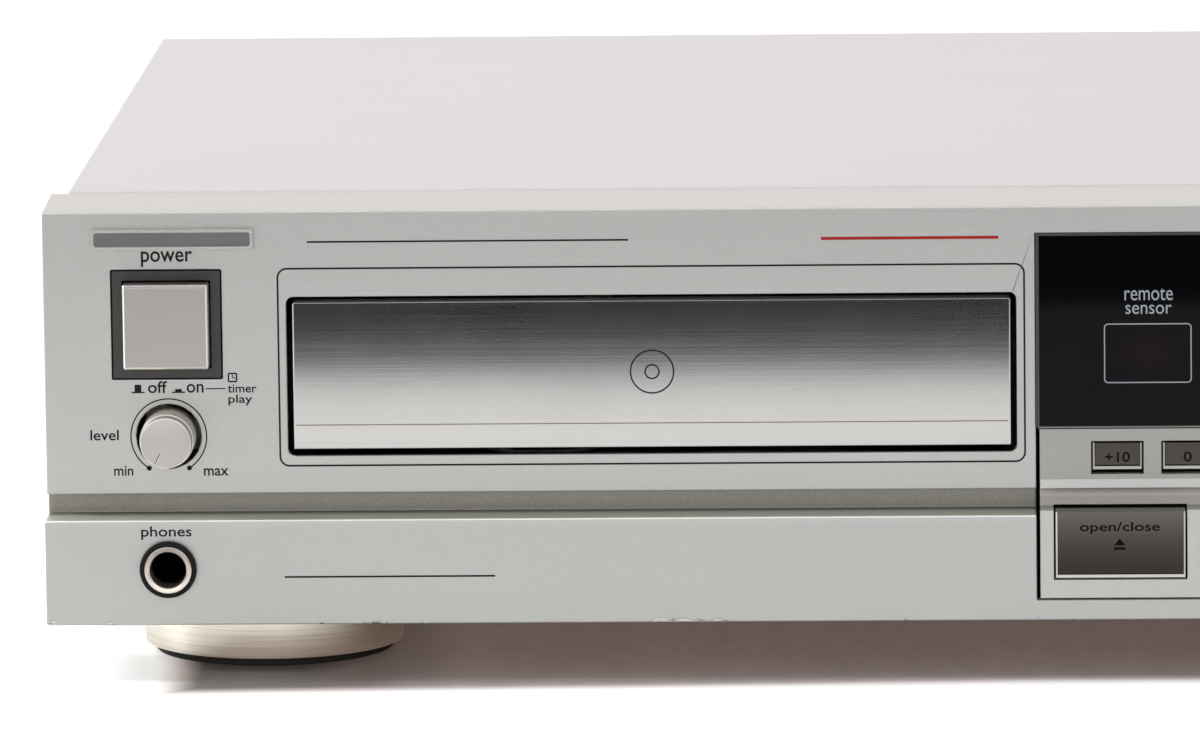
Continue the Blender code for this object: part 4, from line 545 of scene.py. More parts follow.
class Print:
    """Thin printing on one face: its place from front to back, its ink and the body it rides on."""

    def __init__(self, face, finish, body, sizes):
        self.face = face
        self.finish = finish
        self.body = body
        self.depth = sizes.print_depth

    def put(self, name, shape):
        keep(name, shape, self.finish, self.body, smooth=False)

    def shape(self, name, outline):
        self.put(name, plate(outline, self.face - self.depth, self.depth))

    def band(self, name, outer, inner, closed=True):
        self.put(name, ribbon(outer, inner, self.face - self.depth, self.depth, closed))

    def frame(self, name, box, radius, width):
        """Line along a rounded rectangle, given as left, right, bottom and top."""
        left, right, bottom, top = box
        half = width / 2
        self.band(name, rounded(left - half, right + half, bottom - half, top + half, radius + half),
                  rounded(left + half, right - half, bottom + half, top - half, radius - half))

    def rule(self, name, left, right, up, width):
        """Straight line, in millimetres from the panel's corner."""
        low, high = on_front(left, 0, up - width / 2), on_front(right, 0, up + width / 2)
        self.shape(name, oblong(low.x, high.x, low.z, high.z))

    def figure(self, name, points):
        """Small figure whose points are millimetres from the panel's corner."""
        self.shape(name, [(CORNER.x + right * MM, CORNER.z + up * MM) for right, up in points])

    def words(self, name, words, right, up, wide, high, weight=0.012):
        """Words whose box has its middle at (right, up) and is `wide` by `high`, in millimetres."""
        curve = bpy.data.curves.new(name, "FONT")
        curve.body = words
        curve.resolution_u = 4
        curve.extrude = 0.5
        curve.offset = weight
        draft = linked(bpy.data.objects.new(name, curve))
        bpy.context.view_layer.update()
        view = bpy.context.evaluated_depsgraph_get()
        mesh = bpy.data.meshes.new_from_object(draft.evaluated_get(view))
        bpy.data.objects.remove(draft)
        bpy.data.curves.remove(curve)
        low, top = [Vector([pick(vert.co[i] for vert in mesh.vertices) for i in range(3)]) for pick in (min, max)]
        span = top - low
        centre = on_front(right, 0, up)
        for vert in mesh.vertices:
            share = Vector([(vert.co[i] - low[i]) / span[i] for i in range(3)])
            vert.co = (centre.x + (share.x - 0.5) * wide * MM, self.face - share.z * self.depth,
                       centre.z + (share.y - 0.5) * high * MM)
        mesh.name = name
        mesh.materials.clear()
        mesh.materials.append(self.finish.material)
        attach(linked(bpy.data.objects.new(name, mesh)), self.body)


# Finishes of this player

def ink(name, tint):
    """Printed ink, slightly uneven."""
    finish = Finish(name)
    finish.speckled(Color=tint, Grain=5200.0, Amount=0.25, Mottle=0.1)
    finish.set(Roughness=0.6, Specular_IOR_Level=0.06)
    return finish


def silver_paint(name, tint):
    """Satin silver over faintly brushed metal."""
    finish = painted(name, tint, 0.34, metallic=0.42, amount=0.2, grain=2600.0)
    lines = streaks(finish.where, (14.0, 300.0, 3400.0))
    finish.set(Roughness=spread(lines, 0.3, 0.7, 0.3, 0.39))
    return finish


CHIPS = ((-1.0, 2.8, 1.6), (10.8, 14.0, 0.8), (117.5, 134.0, 1.1))  # left end, right end, height in millimetres
WORN_PAINT = shade(112, 110, 108)


def panel_paint(colours):
    """Satin silver with a few chips along the lower edge. Painted light is laid on it: the strip on top is warmer and
    lighter, its lightness a painted highlight where it faces up; the grainy groove is darkened as painted shade of the
    recess; the walls inside the openings are near-black painted shade; and the up-facing ledge and its rim get painted
    highlights.
    """
    finish = silver_paint("panel_paint", colours.panel_paint)
    x, y, z = parts_of(finish.where)
    aside, _, skyward = finish.facing()
    seam = CORNER.z + 80.4 * MM
    low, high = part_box("front_panel")
    half = (high.x - low.x) / 2
    from_middle = abs(x - (low.x + high.x) / 2)
    # Painted highlight: the strip above the seam gets a lighter, warmer colour.
    strip = spread(z, seam + 0.02 * MM, seam + 0.06 * MM)
    # The groove: grainier paint, and darker as painted shade of the recess.
    groove = inward(y, 7.0, 7.6) * upward(z, 25.4, 24.9) * spread(abs(aside), 0.7, 0.5)
    # Painted shade: the walls inside the openings, behind the face, are painted near-black.
    behind = (inward(y, 6.8, 7.2) * upward(z, 26, 27) * spread(z, seam - 1.0 * MM, seam - 1.4 * MM)
              * spread(from_middle, half - 2 * MM, half - 3 * MM))
    # Painted highlights: the up-facing ledge in the groove is lightened, and its front rim is painted near-white.
    lit_ledge_highlight = upward(z, 18.0, 18.6) * upward(z, 24.0, 23.0) * spread(skyward, 0.1, 0.3) * inward(y, 7.0, 6.0)
    rim = lit_ledge_highlight * inward(y, 0.5, 0.3)
    tint = layered(colours.panel_paint, (strip, colours.strip_paint), (upward(z, 20, 19), shade(186, 187, 184)),
                   (groove, colours.groove_paint), (behind, shade(26, 24, 23)), (lit_ledge_highlight, shade(206, 208, 194)),
                   (rim, shade(255, 255, 250)))
    feed(finish.speckle.inputs, {"Color": tint, "Amount": between(groove, 0.2, 0.85)})

    grain = noise(finish.where, 330.0, 4.0, 0.7)
    flakes = spread(streaks(finish.where, (300.0, 1000.0, 2400.0), 3.0), 0.36, 0.46)
    finish.lay((upward(z, 0.75, 0.25) * spread(grain, 0.62, 0.66), WORN_PAINT))
    for start, end, height in CHIPS:
        reach = (end - start) / 2 * MM
        inside = spread(abs(x - (CORNER.x + (start + end) / 2 * MM)), reach, reach - 1.2 * MM)
        depth = inside * spread(grain, 0.3, 0.62, 0.2, height) - (z - CORNER.z) / MM
        bare = layered(WORN_PAINT, (spread(depth, 0.06, 0.16) * flakes, shade(206, 205, 202)))
        finish.lay((spread(depth, 0.0, 0.05), bare))
    return finish


def control_paint(colours):
    """Satin silver with painted light laid on it: the groove is darkened as painted shade of the recess, the slope
    above it is lightened as a painted reflection of the table, the key row above the slope is darkened as painted
    shade, and the hollow under the lip is lightened as painted light.
    """
    finish = silver_paint("control_paint", colours.control_paint)
    _, y, z = parts_of(finish.where)
    # Painted reflection on the slope above the groove.
    slope = upward(z, 26.7, 26.5) * upward(z, 24.6, 24.8)
    # Painted shade of the recessed groove.
    groove = upward(z, 24.8, 24.6) * inward(y, 3.0, 4.0)
    # Painted light: the hollow under the lip is lightened against the lip's shadow.
    hollow_painted_light = upward(z, 23.2, 24.2) * upward(z, 25.2, 24.9)
    # Painted shade: the key row above the slope is darkened for its angle to the light.
    tint = layered(colours.control_paint, (slope, colours.slope_paint), (upward(z, 26.4, 26.7), shade(166, 166, 162)),
                   (groove, colours.control_groove), (hollow_painted_light, shade(224, 220, 214)))
    feed(finish.speckle.inputs, {"Color": tint, "Amount": between(groove, 0.2, 0.36)})
    return finish


def drawer_metal(colours):
    """Metal brushed from side to side, polished enough to show the table's edge, with painted highlights on its bevels
    that face sideways or up.
    """
    finish = brushed("drawer_metal", colours.drawer_metal, 0.083, (5.0, 300.0, 5000.0), amount=0.3, bump=0.0008,
                     roughness_change=0.035)
    aside, _, skyward = finish.facing()
    # Painted highlight: bevels facing sideways or up get a near-white colour, rougher and less metallic.
    sides = spread(abs(aside), 0.25, 0.6)
    ends = maths("MAXIMUM", sides, spread(skyward, 0.25, 0.6))
    low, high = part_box("drawer_front")
    upper = spread(parts_of(finish.where)[2], low.z + 7 * MM, high.z - 7 * MM)
    streak = streaks(finish.where, (25.0, 300.0, 2600.0), 3.0)
    level = (streak - 0.5) * between(upper ** 3.0, 0.07, 0.65) + 1.0
    finish.set(Metallic=between(sides, 1.0, 0.1), Roughness=finish.wired("Roughness") + ends * 0.4,
               Base_Color=layered(scaled(finish.wired("Base Color"), level), (ends, shade(255, 253, 249))))
    return finish


def dark_key_metal(colours):
    """Dark metal brushed from side to side, with painted highlights on its bevels that face sideways or down, and
    painted shading on the large keys, lighter at the top and darker at the bottom.
    """
    finish = brushed("key_metal", colours.key_metal, 0.2, (30.0, 300.0, 3600.0), amount=0.3, bump=0.002,
                     roughness_change=0.08)
    _, frontward, skyward = finish.facing()
    _, y, z = parts_of(finish.where)
    high_keys = upward(z, 24, 26)
    faces = [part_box(node)[0].y for node in ("key_open_close", "key_plus_10")]
    large, small = [spread(y, face + 0.16 * MM, face + 0.22 * MM) for face in faces]
    # Painted highlight on the bevels that do not face up.
    bevel = (spread(abs(frontward), 0.97, 0.9) * spread(skyward, 0.5, 0.3)
             * (small * high_keys + large * (1.0 - high_keys)))
    plain = finish.wired("Base Color")
    # Painted shading: the large keys are lighter at the top and darker at the bottom.
    painted_shading = scaled(plain, between(upward(z, 8.6, 21) ** 2.0, 0.5, 1.74))
    finish.set(Base_Color=layered(painted_shading, (high_keys, plain), (bevel, colours.key_edge)),
               Roughness=finish.wired("Roughness") + bevel * 0.2, Metallic=between(bevel, 1.0, 0.15))
    return finish


def satin_metal(name, tint, roughness=0.34, amount=0.1):
    """Finely blasted satin metal."""
    return painted(name, tint, roughness, metallic=0.85, amount=amount, grain=4200.0)


def knob_metal():
    """Satin face, with the flank deeper in its hole painted lighter, as painted light against the hole's shade."""
    finish = satin_metal("knob_metal", shade(178, 173, 170), 0.45, 0.12)
    # Painted light: the flank is lightened with depth to offset the shade inside the hole.
    deep = inward(parts_of(finish.where)[1], 0.5, 6)
    finish.lay((deep, shade(250, 240, 228)))
    return finish


def button_metal(colours):
    """Satin metal, with painted highlights on its bevels that face sideways or down."""
    finish = satin_metal("button_metal", colours.button_metal, 0.36)
    aside, _, skyward = finish.facing()
    # Painted highlight on the bevels that face sideways or down.
    ends = spread(maths("MAXIMUM", abs(aside), skyward * -1.0), 0.3, 0.6)
    finish.lay((ends, shade(244, 240, 232)))
    return finish


def plastic(name, tint, roughness=0.5):
    """Moulded plastic with a fine texture."""
    return painted(name, tint, roughness, amount=0.2, grain=2400.0, mottle=0.08, bump=0.01)


def rubber_finish(colours):
    return painted("rubber", colours.rubber, 0.8, amount=0.3, grain=1800.0, mottle=0.1, bump=0.02)


def window_glass(colours):
    """Smoked window, with a dull red glow of the sensor behind it."""
    finish = Finish("window_glass")
    x, _, z = parts_of(finish.where)
    sensor = on_front(214.9, 0, 51.5)
    aside, above = (x - sensor.x) / (7.0 * MM), (z - sensor.z) / (5.0 * MM)
    glow = spread(maths("SQRT", aside * aside + above * above), 1.0, 0.1, kind="SMOOTHSTEP")
    finish.set(Base_Color=layered(colours.glass, (glow, (0.012, 0.004, 0.004, 1.0))),
               Roughness=finish.marks(40.0, 0.03) + 0.045, IOR=1.175)
    return finish


def board_lacquer(colours, name, top=None):
    """Green lacquer with lighter tracks; parts above `top` are black, the tall ones with bare metal ends."""
    finish = painted(name, colours.board, 0.35, mottle=0.2)
    tracks = result(finish.tree, "ShaderNodeTexBrick",
                    {"Vector": stretched(finish.where, (90.0, 90.0, 90.0)), "Mortar Size": 0.03}, "Fac")
    pattern = between(tracks, 0.0, 0.35)
    finish.lay((pattern, shade(120, 150, 84)))
    if top is not None:
        z = parts_of(finish.where)[2]
        ends = spread(z, top + 8.0 * MM, top + 8.2 * MM) * spread(finish.facing()[2], 0.8, 0.95)
        finish.lay((spread(z, top + 0.1 * MM, top + 0.2 * MM), shade(38, 40, 48)), (ends, shade(188, 188, 186)))
    return finish


# Pieces

LABELS = (  # word, place right and up of its middle, width and height in millimetres
    ("power", 24.28, 71.26, 10.0, 3.08), ("off", 22.07, 46.03, 3.76, 2.38), ("on", 29.41, 45.75, 3.31, 1.76),
    ("timer", 38.6, 45.65, 5.66, 1.63), ("play", 38.21, 43.38, 4.69, 2.16), ("level", 11.54, 36.61, 5.58, 2.1),
    ("min", 15.16, 29.55, 3.76, 1.93), ("max", 33.25, 29.2, 4.84, 1.5))


def front_panel(colours, sizes):
    dress("front_panel", panel_paint(colours), sizes.edge_round)
    dark = ink("panel_ink", colours.ink)
    upper, lower, red = (Print(face, finish, "root", sizes) for face, finish in
                         ((UPPER_FACE, dark), (CORNER.y, dark), (UPPER_FACE, ink("red_ink", colours.red_ink))))
    low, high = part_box("drawer_front")
    side = sizes.line_margin
    box = (low.x - side, high.x + side, low.z - side - 0.4 * MM, high.z + 6.78 * MM)
    upper.frame("engraved_line", box, sizes.line_round, sizes.line_width)
    upper.rule("heading_rule", 51.7, 114.2, 74.4, 0.35)
    red.rule("red_rule", 151.7, 186.1, 74.4, 0.6)
    lower.rule("feature_rule", 46.7, 87.8, 9.4, 0.35)
    for word, *box in LABELS:
        upper.words(f"label_{word}", word, *box)
    lower.words("label_phones", "phones", 23.77, 18.22, 9.86, 2.67)
    base, step = 44.86, 45.12
    for name, left, top in (("off", 16.96, 46.53), ("on", 24.86, 45.63)):
        right, inner_left, inner_right = left + 2.56, left + 0.64, left + 1.94
        upper.figure(f"sign_{name}", ((left, base), (right, base), (right, step), (inner_right, step),
                                      (inner_right, top), (inner_left, top), (inner_left, step), (left, step)))
    upper.rule("sign_link", 31.45, 35.35, 45.66, 0.22)
    clock = on_front(36.75, 0, 47.83)
    half = 0.8 * MM
    upper.frame("sign_clock", (clock.x - half, clock.x + half, clock.z - half, clock.z + half), 0.2 * MM, 0.3 * MM)
    upper.rule("sign_clock_hand", 36.7, 37.3, 47.75, 0.18)
    upper.figure("sign_clock_pointer", oblong(36.64, 36.82, 47.7, 48.4))

    dress("nameplate", satin_metal("nameplate_metal", colours.bright_metal, 0.25), sizes.small_round)
    low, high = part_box("nameplate")
    rim = 0.55 * MM
    field = rounded(low.x + rim, high.x - rim, low.z + rim, high.z - rim, rim)
    dull = brushed("nameplate_field", colours.nameplate_field, 0.3, (30.0, 300.0, 3000.0), amount=0.3)
    inlay("nameplate_field", field, low.y, dull)


def level_scale(colours, sizes):
    """Open ring round the knob, with a dot at each end."""
    scale = Print(UPPER_FACE, ink("scale_ink", colours.ink), "root", sizes)
    centre = middle("level_knob")
    start, end = math.radians(-58), math.radians(238)
    radius, half = sizes.arc_radius, sizes.arc_width / 2
    scale.band("level_scale", arc(centre, radius + half, start, end), arc(centre, radius - half, start, end), False)
    for label, angle in (("min", end), ("max", start)):
        spot = Vector((centre.x + radius * math.cos(angle), 0, centre.z + radius * math.sin(angle)))
        scale.shape(f"scale_dot_{label}", circle(spot, 0.5 * MM, 20))


def level_knob(colours, sizes):
    """Turned knob with two bright rings and a pointer at seven o'clock."""
    low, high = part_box("level_knob")
    centre = (low + high) / 2
    face, rear, end = low.y, low.y + 11.5 * MM, high.y
    top, rim, foot, shaft = 4.86 * MM, 5.2 * MM, 5.4 * MM, 1.8 * MM
    cone_end = face + 2.8 * MM
    soft = 0.14 * MM
    profile = [(0, face), *reversed(eased(top, face, soft, soft)), (rim - 1.2 * soft, cone_end - soft),
               (rim - 0.3 * soft, cone_end - 0.3 * soft), (rim, cone_end + soft), (foot, rear), (shaft, rear),
               (shaft, end), (0, end)]
    knob = turned("level_knob_turned", profile, centre, knob_metal(), 96, body="level_knob")
    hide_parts("level_knob")
    polished = satin_metal("knob_ring_metal", shade(250, 248, 244), 0.3)
    for name, radius, start in (("face", top, face), ("rim", rim, cone_end)):
        band = [(radius - 1.6 * soft, start - 0.2 * LIFT), (radius + 0.2 * soft, start - 0.2 * LIFT + 0.5 * soft),
                (radius + 0.5 * soft, start + 1.5 * soft), (radius - 0.5 * soft, start + 1.5 * soft)]
        if name == "face":
            band = [(reach, max(depth, face)) for reach, depth in band]
        turned(f"level_knob_ring_{name}", band, centre, polished, 96, body="level_knob")
    along = Vector((-0.44, 0, -0.9)).normalized()
    aside = Vector((-along.z, 0, along.x))
    near, far = centre + along * 2.3 * MM, centre + along * 4.62 * MM
    # The pale line is the pointer; the dark line beside it is painted shade of the pointer's slot.
    for name, tint, start, end in (("dark", shade(104, 98, 92), -0.2 * MM, 0.0),
                                   ("pale", shade(246, 244, 240), 0.0, 0.16 * MM)):
        corners = (near + aside * start, near + aside * end, far + aside * end, far + aside * start)
        inlay(f"level_pointer_{name}", [(spot.x, spot.z) for spot in corners], face, ink(f"pointer_{name}", tint),
              "level_knob")


def power_button(colours, sizes):
    dress("power_bezel", plastic("bezel_plastic", colours.bezel_plastic, 0.45), sizes.small_round)
    dress("power_button", button_metal(colours), 0.5 * MM)


def phones_jack(colours, sizes):
    """Plated barrel with a rolled lip, in a black ring."""
    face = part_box("phones_jack")[0].y
    low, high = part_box("phones_ring")
    centre = (low + high) / 2
    bore, barrel, wall = 3.43 * MM, 4.7 * MM, 2.0 * MM
    step = 0.3 * MM
    shelf, depth = CORNER.y + 3.6 * MM, CORNER.y + 31.0 * MM
    profile = [(barrel, shelf), (barrel, face + step), (barrel - 0.4 * step, face + 0.3 * step),
               (barrel - 1.2 * step, face), (bore + 1.8 * step, face), (bore + 0.6 * step, face + 0.7 * step),
               (bore, face + 2.4 * step), (bore, shelf)]
    metal = satin_metal("jack_metal", colours.bright_metal, 0.2)
    # Painted shading: the barrel's colour is darker at the top and lighter at the bottom.
    reach = 4.5 * MM
    painted_shading = spread(parts_of(metal.where)[2], centre.z + reach, centre.z - reach)
    metal.set(Base_Color=layered(shade(138, 131, 124), (painted_shading, shade(222, 214, 204))))
    turned("phones_barrel", profile, centre, metal)
    sleeve = [(bore + 0.2 * MM, depth), (bore + 0.2 * MM, shelf), (bore + wall, shelf),
              (bore + wall, depth + wall), (0, depth + wall), (0, depth)]
    black = plastic("jack_plastic", shade(15, 15, 16))
    black.set(Specular_IOR_Level=0.15)
    body = turned("phones_body", sleeve, centre, black, 36)
    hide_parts("phones_jack")
    outer, soft = (high.x - low.x) / 2, 0.35 * MM
    profile = [(barrel + LIFT, high.y), (outer, high.y), *eased(outer, low.y, soft, soft), (barrel + LIFT, low.y)]
    ring = turned("phones_ring_turned", profile, centre, black)
    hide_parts("phones_ring")


def disc_drawer(colours, sizes):
    dress("drawer_front", drawer_metal(colours), sizes.edge_round)
    dress("disc_tray", plastic("tray_plastic", colours.black_plastic, 0.42), sizes.small_round)
    low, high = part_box("drawer_front")
    sign = Print(low.y, ink("drawer_ink", colours.ink), "drawer", sizes)
    spot = on_front(118.6, 0, 48.5)
    crease, lean = CORNER.z + 38.3 * MM, 0.38 * MM
    half = 0.15 * MM
    for name, radius in (("outer", 4.2 * MM), ("inner", 1.35 * MM)):
        ring = ribbon(circle(spot, radius + half, 48), circle(spot, radius - half, 48), low.y - sign.depth, sign.depth)
        for vert in ring.verts:
            vert.co.y += lean * (vert.co.z - crease) / (high.z - crease)
        sign.put(f"disc_sign_{name}", ring)
    side = 0.5 * MM
    # Painted shade and highlight at the drawer's crease: a dark line for the shade where the face bends, and a pale
    # line below it for the highlight.
    for name, tint, bottom, top in (("dark", shade(138, 126, 118), 0.0, 0.2),
                                    ("pale", shade(238, 235, 231), -0.17, 0.0)):
        line = oblong(low.x + side, high.x - side, crease + bottom * MM, crease + top * MM)
        inlay(f"crease_shade_and_highlight_{name}", line, low.y, ink(f"crease_{name}", tint), "drawer")


def control_panel(colours, sizes):
    dress("control_panel", control_paint(colours), sizes.small_round)
    low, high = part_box("control_panel")
    y, z = UPPER_FACE, on_front(0, 0, 26.6).z
    lip = [(y - LIFT, z + 0.1 * MM), (y - 0.3 * MM, z - 1.55 * MM), (y - 0.2 * MM, z - 1.75 * MM),
           (y + 1.4 * MM, z - 1.75 * MM), (y + 0.4 * MM, z + 0.1 * MM)]
    silver = painted("lip_paint", shade(186, 187, 184), 0.34, metallic=0.42)
    keep("control_lip", prism(lip, low.x + 0.1 * MM, high.x - 0.1 * MM, axis=0), silver, "root", smooth=False)
    black = plastic("frame_plastic", shade(60, 60, 62), 0.3)
    low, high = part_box("display_window")
    outside, inside_edge, depth = 0.35 * MM, 0.3 * MM, 0.12 * MM
    outer = oblong(low.x - outside, high.x + outside, low.z, high.z + 0.25 * MM)
    inner = oblong(low.x + inside_edge, high.x - inside_edge, low.z + LIFT, high.z - inside_edge)
    keep("window_frame", ribbon(outer, inner, low.y - depth, depth), black, "root", smooth=False)
    # Painted highlight and shade under the window: a pale line for the lit bevel of its lower edge and a dark line for
    # the shade of the gap below it.
    for name, tint, bottom, top in (("pale", shade(166, 165, 162), -0.14, 0.12),
                                    ("dark", shade(70, 68, 66), -0.4, -0.14)):
        line = oblong(low.x, high.x, low.z + bottom * MM, low.z + top * MM)
        keep(f"window_sill_highlight_and_shade_{name}", plate(line, y - 1.5 * LIFT, 3 * LIFT), ink(f"sill_{name}", tint), "root",
             smooth=False)


def display_window(colours, sizes):
    dress("display_window", window_glass(colours), sizes.small_round)
    dress("display_module", window_glass(colours))
    pale = Print(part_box("display_window")[0].y, ink("pale_ink", colours.pale_ink), "root", sizes)
    pale.words("label_remote", "remote", 215.2, 63.0, 9.37, 2.36, 0.0)
    pale.words("label_sensor", "sensor", 215.17, 60.05, 8.97, 1.8, 0.0)
    low, high = on_front(206.6, 0, 45.7), on_front(223.4, 0, 57.2)
    pale.frame("sensor_line", (low.x, high.x, low.z, high.z), 0.7 * MM, 0.22 * MM)


def key_signs(name, right):
    """Figures below a large key's word: the ending of each one's name, and its points in millimetres."""
    low, centre, high = 13.9, 14.9, 15.9
    if name == "stop":
        return [("", oblong(right - 1, right + 1, low, high))]
    if name == "pause":
        return [(f"_{number}", oblong(right + side - 0.35, right + side + 0.35, low, high))
                for number, side in enumerate((-0.7, 0.7))]
    if name == "play":
        return [("", ((right - 1, low), (right + 1.2, centre), (right - 1, high)))]
    signs = []
    for word, way in (("back", -1), ("on", 1)):
        base = right + way * 14
        for number in (0, 1):
            foot = base + way * number * 2.1
            signs.append((f"_{word}_{number}", ((foot, low), (foot + way * 1.9, centre), (foot, high))))
        bar = base + way * 4.3
        signs.append((f"_{word}_bar", oblong(bar, bar + way * 0.45, low, high)))
    return signs


def keys(colours, sizes):
    metal = dark_key_metal(colours)
    black = ink("key_ink", shade(8, 8, 8))
    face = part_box("key_open_close")[0].y
    for name in ("plus_10", *"0123456789"):
        node = f"key_{name}"
        dress(node, metal)
        words, wide = {"plus_10": ("+10", 4.87), "1": ("1", 0.8)}.get(name, (name, 1.6))
        legend = Print(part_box(node)[0].y, black, node, sizes)
        legend.words(f"legend_{name}", words, (middle(node).x - CORNER.x) / MM, 31.08, wide, 2.0)
    dress("key_open_close", metal)
    legend = Print(face, black, "key_open_close", sizes)
    legend.words("legend_open_close", "open/close", 209.33, 18.25, 15.56, 2.35)
    legend.figure("sign_eject", ((208.18, 14.83), (210.4, 14.83), (209.29, 16.17)))
    legend.figure("sign_eject_bar", oblong(208.18, 210.4, 13.96, 14.45))
    for name, wide, high in (("stop", 6.4, 2.7), ("pause", 8.4, 2.5), ("play", 6.4, 2.8), ("skip", 5.8, 2.8)):
        node = f"key_{name}"
        dress(node, metal)
        right = (middle(node).x - CORNER.x) / MM
        legend = Print(face, black, node, sizes)
        legend.words(f"legend_{name}", name, right, 18.3, wide, high)
        for ending, points in key_signs(name, right):
            legend.figure(f"sign_{name}{ending}", points)


def feet(colours, sizes):
    metal = brushed("foot_metal", colours.foot_metal, 0.36, (25.0, 25.0, 2600.0), amount=0.75, bump=0.02)
    pad = rubber_finish(colours)
    soft = 0.3 * MM
    for side in ("left", "right"):
        low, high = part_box(f"front_foot_{side}")
        centre = (low + high) / 2
        radius = (high.x - low.x) / 2
        pad_low, pad_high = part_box(f"front_pad_{side}")
        pad_radius = (pad_high.x - pad_low.x) / 2
        pocket, roof = pad_radius + 1.1 * MM, pad_high.z + LIFT
        rim = low.z + 0.35 * MM
        profile = [(0, high.z), (radius - soft, high.z), (radius, high.z - soft), *eased(radius, rim, soft, soft),
                   (pocket, rim), (pocket, roof), (0, roof)]
        foot = turned(f"foot_{side}_turned", profile, centre, metal, 128, "Z")
        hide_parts(f"front_foot_{side}")
        low, high, radius = pad_low, pad_high, pad_radius + MM
        profile = [(0, low.z), (radius - soft, low.z), (radius, low.z + soft), (radius, high.z), (0, high.z)]
        sole = turned(f"pad_{side}_turned", profile, centre, pad, 96, "Z")
        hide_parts(f"front_pad_{side}")
        low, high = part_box(f"rear_foot_{side}")
        radius = (high.x - low.x) / 2
        profile = [(0, low.z), (radius - 5 * soft, low.z), (radius - soft, low.z + 2 * soft),
                   (radius, low.z + 5 * soft), (radius, high.z), (0, high.z)]
        black = plastic(f"rear_foot_{side}", colours.black_plastic)
        rear = turned(f"rear_foot_{side}_turned", profile, (low + high) / 2, black, 72, "Z")
        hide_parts(f"rear_foot_{side}")


def case(colours, sizes):
    cover = painted("cover_paint", colours.cover_paint, 0.5, metallic=0.05, amount=0.05, grain=1500.0, bump=0.01)
    dress("top_cover", cover, 0.6 * MM)
    zinc = painted("plated_sheet", colours.zinc, 0.4, metallic=0.75, amount=0.08, mottle=0.16)
    dress("chassis", zinc)
    dress("rear_panel", zinc)


def cross_reach(angle, length, half):
    """Distance from the middle of a cross to its outline, one way."""
    aside, along = max(abs(math.cos(angle)), 1e-6), max(abs(math.sin(angle)), 1e-6)
    return max(min(length / aside, half / along), min(half / aside, length / along))


def screw(name, spot, outward, radius, metal):
    """Pan-head screw with a cross recess, standing on a surface at `spot`."""
    outward = Vector(outward)
    first = Vector((0, 0, 1))
    second = outward.cross(first)
    steps = 48
    high = 0.42 * radius
    rings = ((1.0, -0.2 * MM, False), (1.0, 0.1 * high, False), (0.94, 0.5 * high, False), (0.78, 0.85 * high, False),
             (0.62, high, False), (0.5, high, True), (0.42, 0.35 * high, True))
    shape = bmesh.new()
    rows = []
    for share, height, crossed in rings:
        row = []
        for step in range(steps):
            angle = TURN * step / steps
            reach = cross_reach(angle, share, 0.3 * share) if crossed else share
            way = first * math.cos(angle) + second * math.sin(angle)
            row.append(shape.verts.new(Vector(spot) + way * reach * radius + outward * height))
        rows.append(row)
    for low, up in zip(rows, rows[1:]):
        for step in range(steps):
            after = (step + 1) % steps
            shape.faces.new((low[step], low[after], up[after], up[step]))
    shape.faces.new(list(reversed(rows[0])))
    shape.faces.new(rows[-1])
    keep(name, shape, metal, "root", smooth=False)


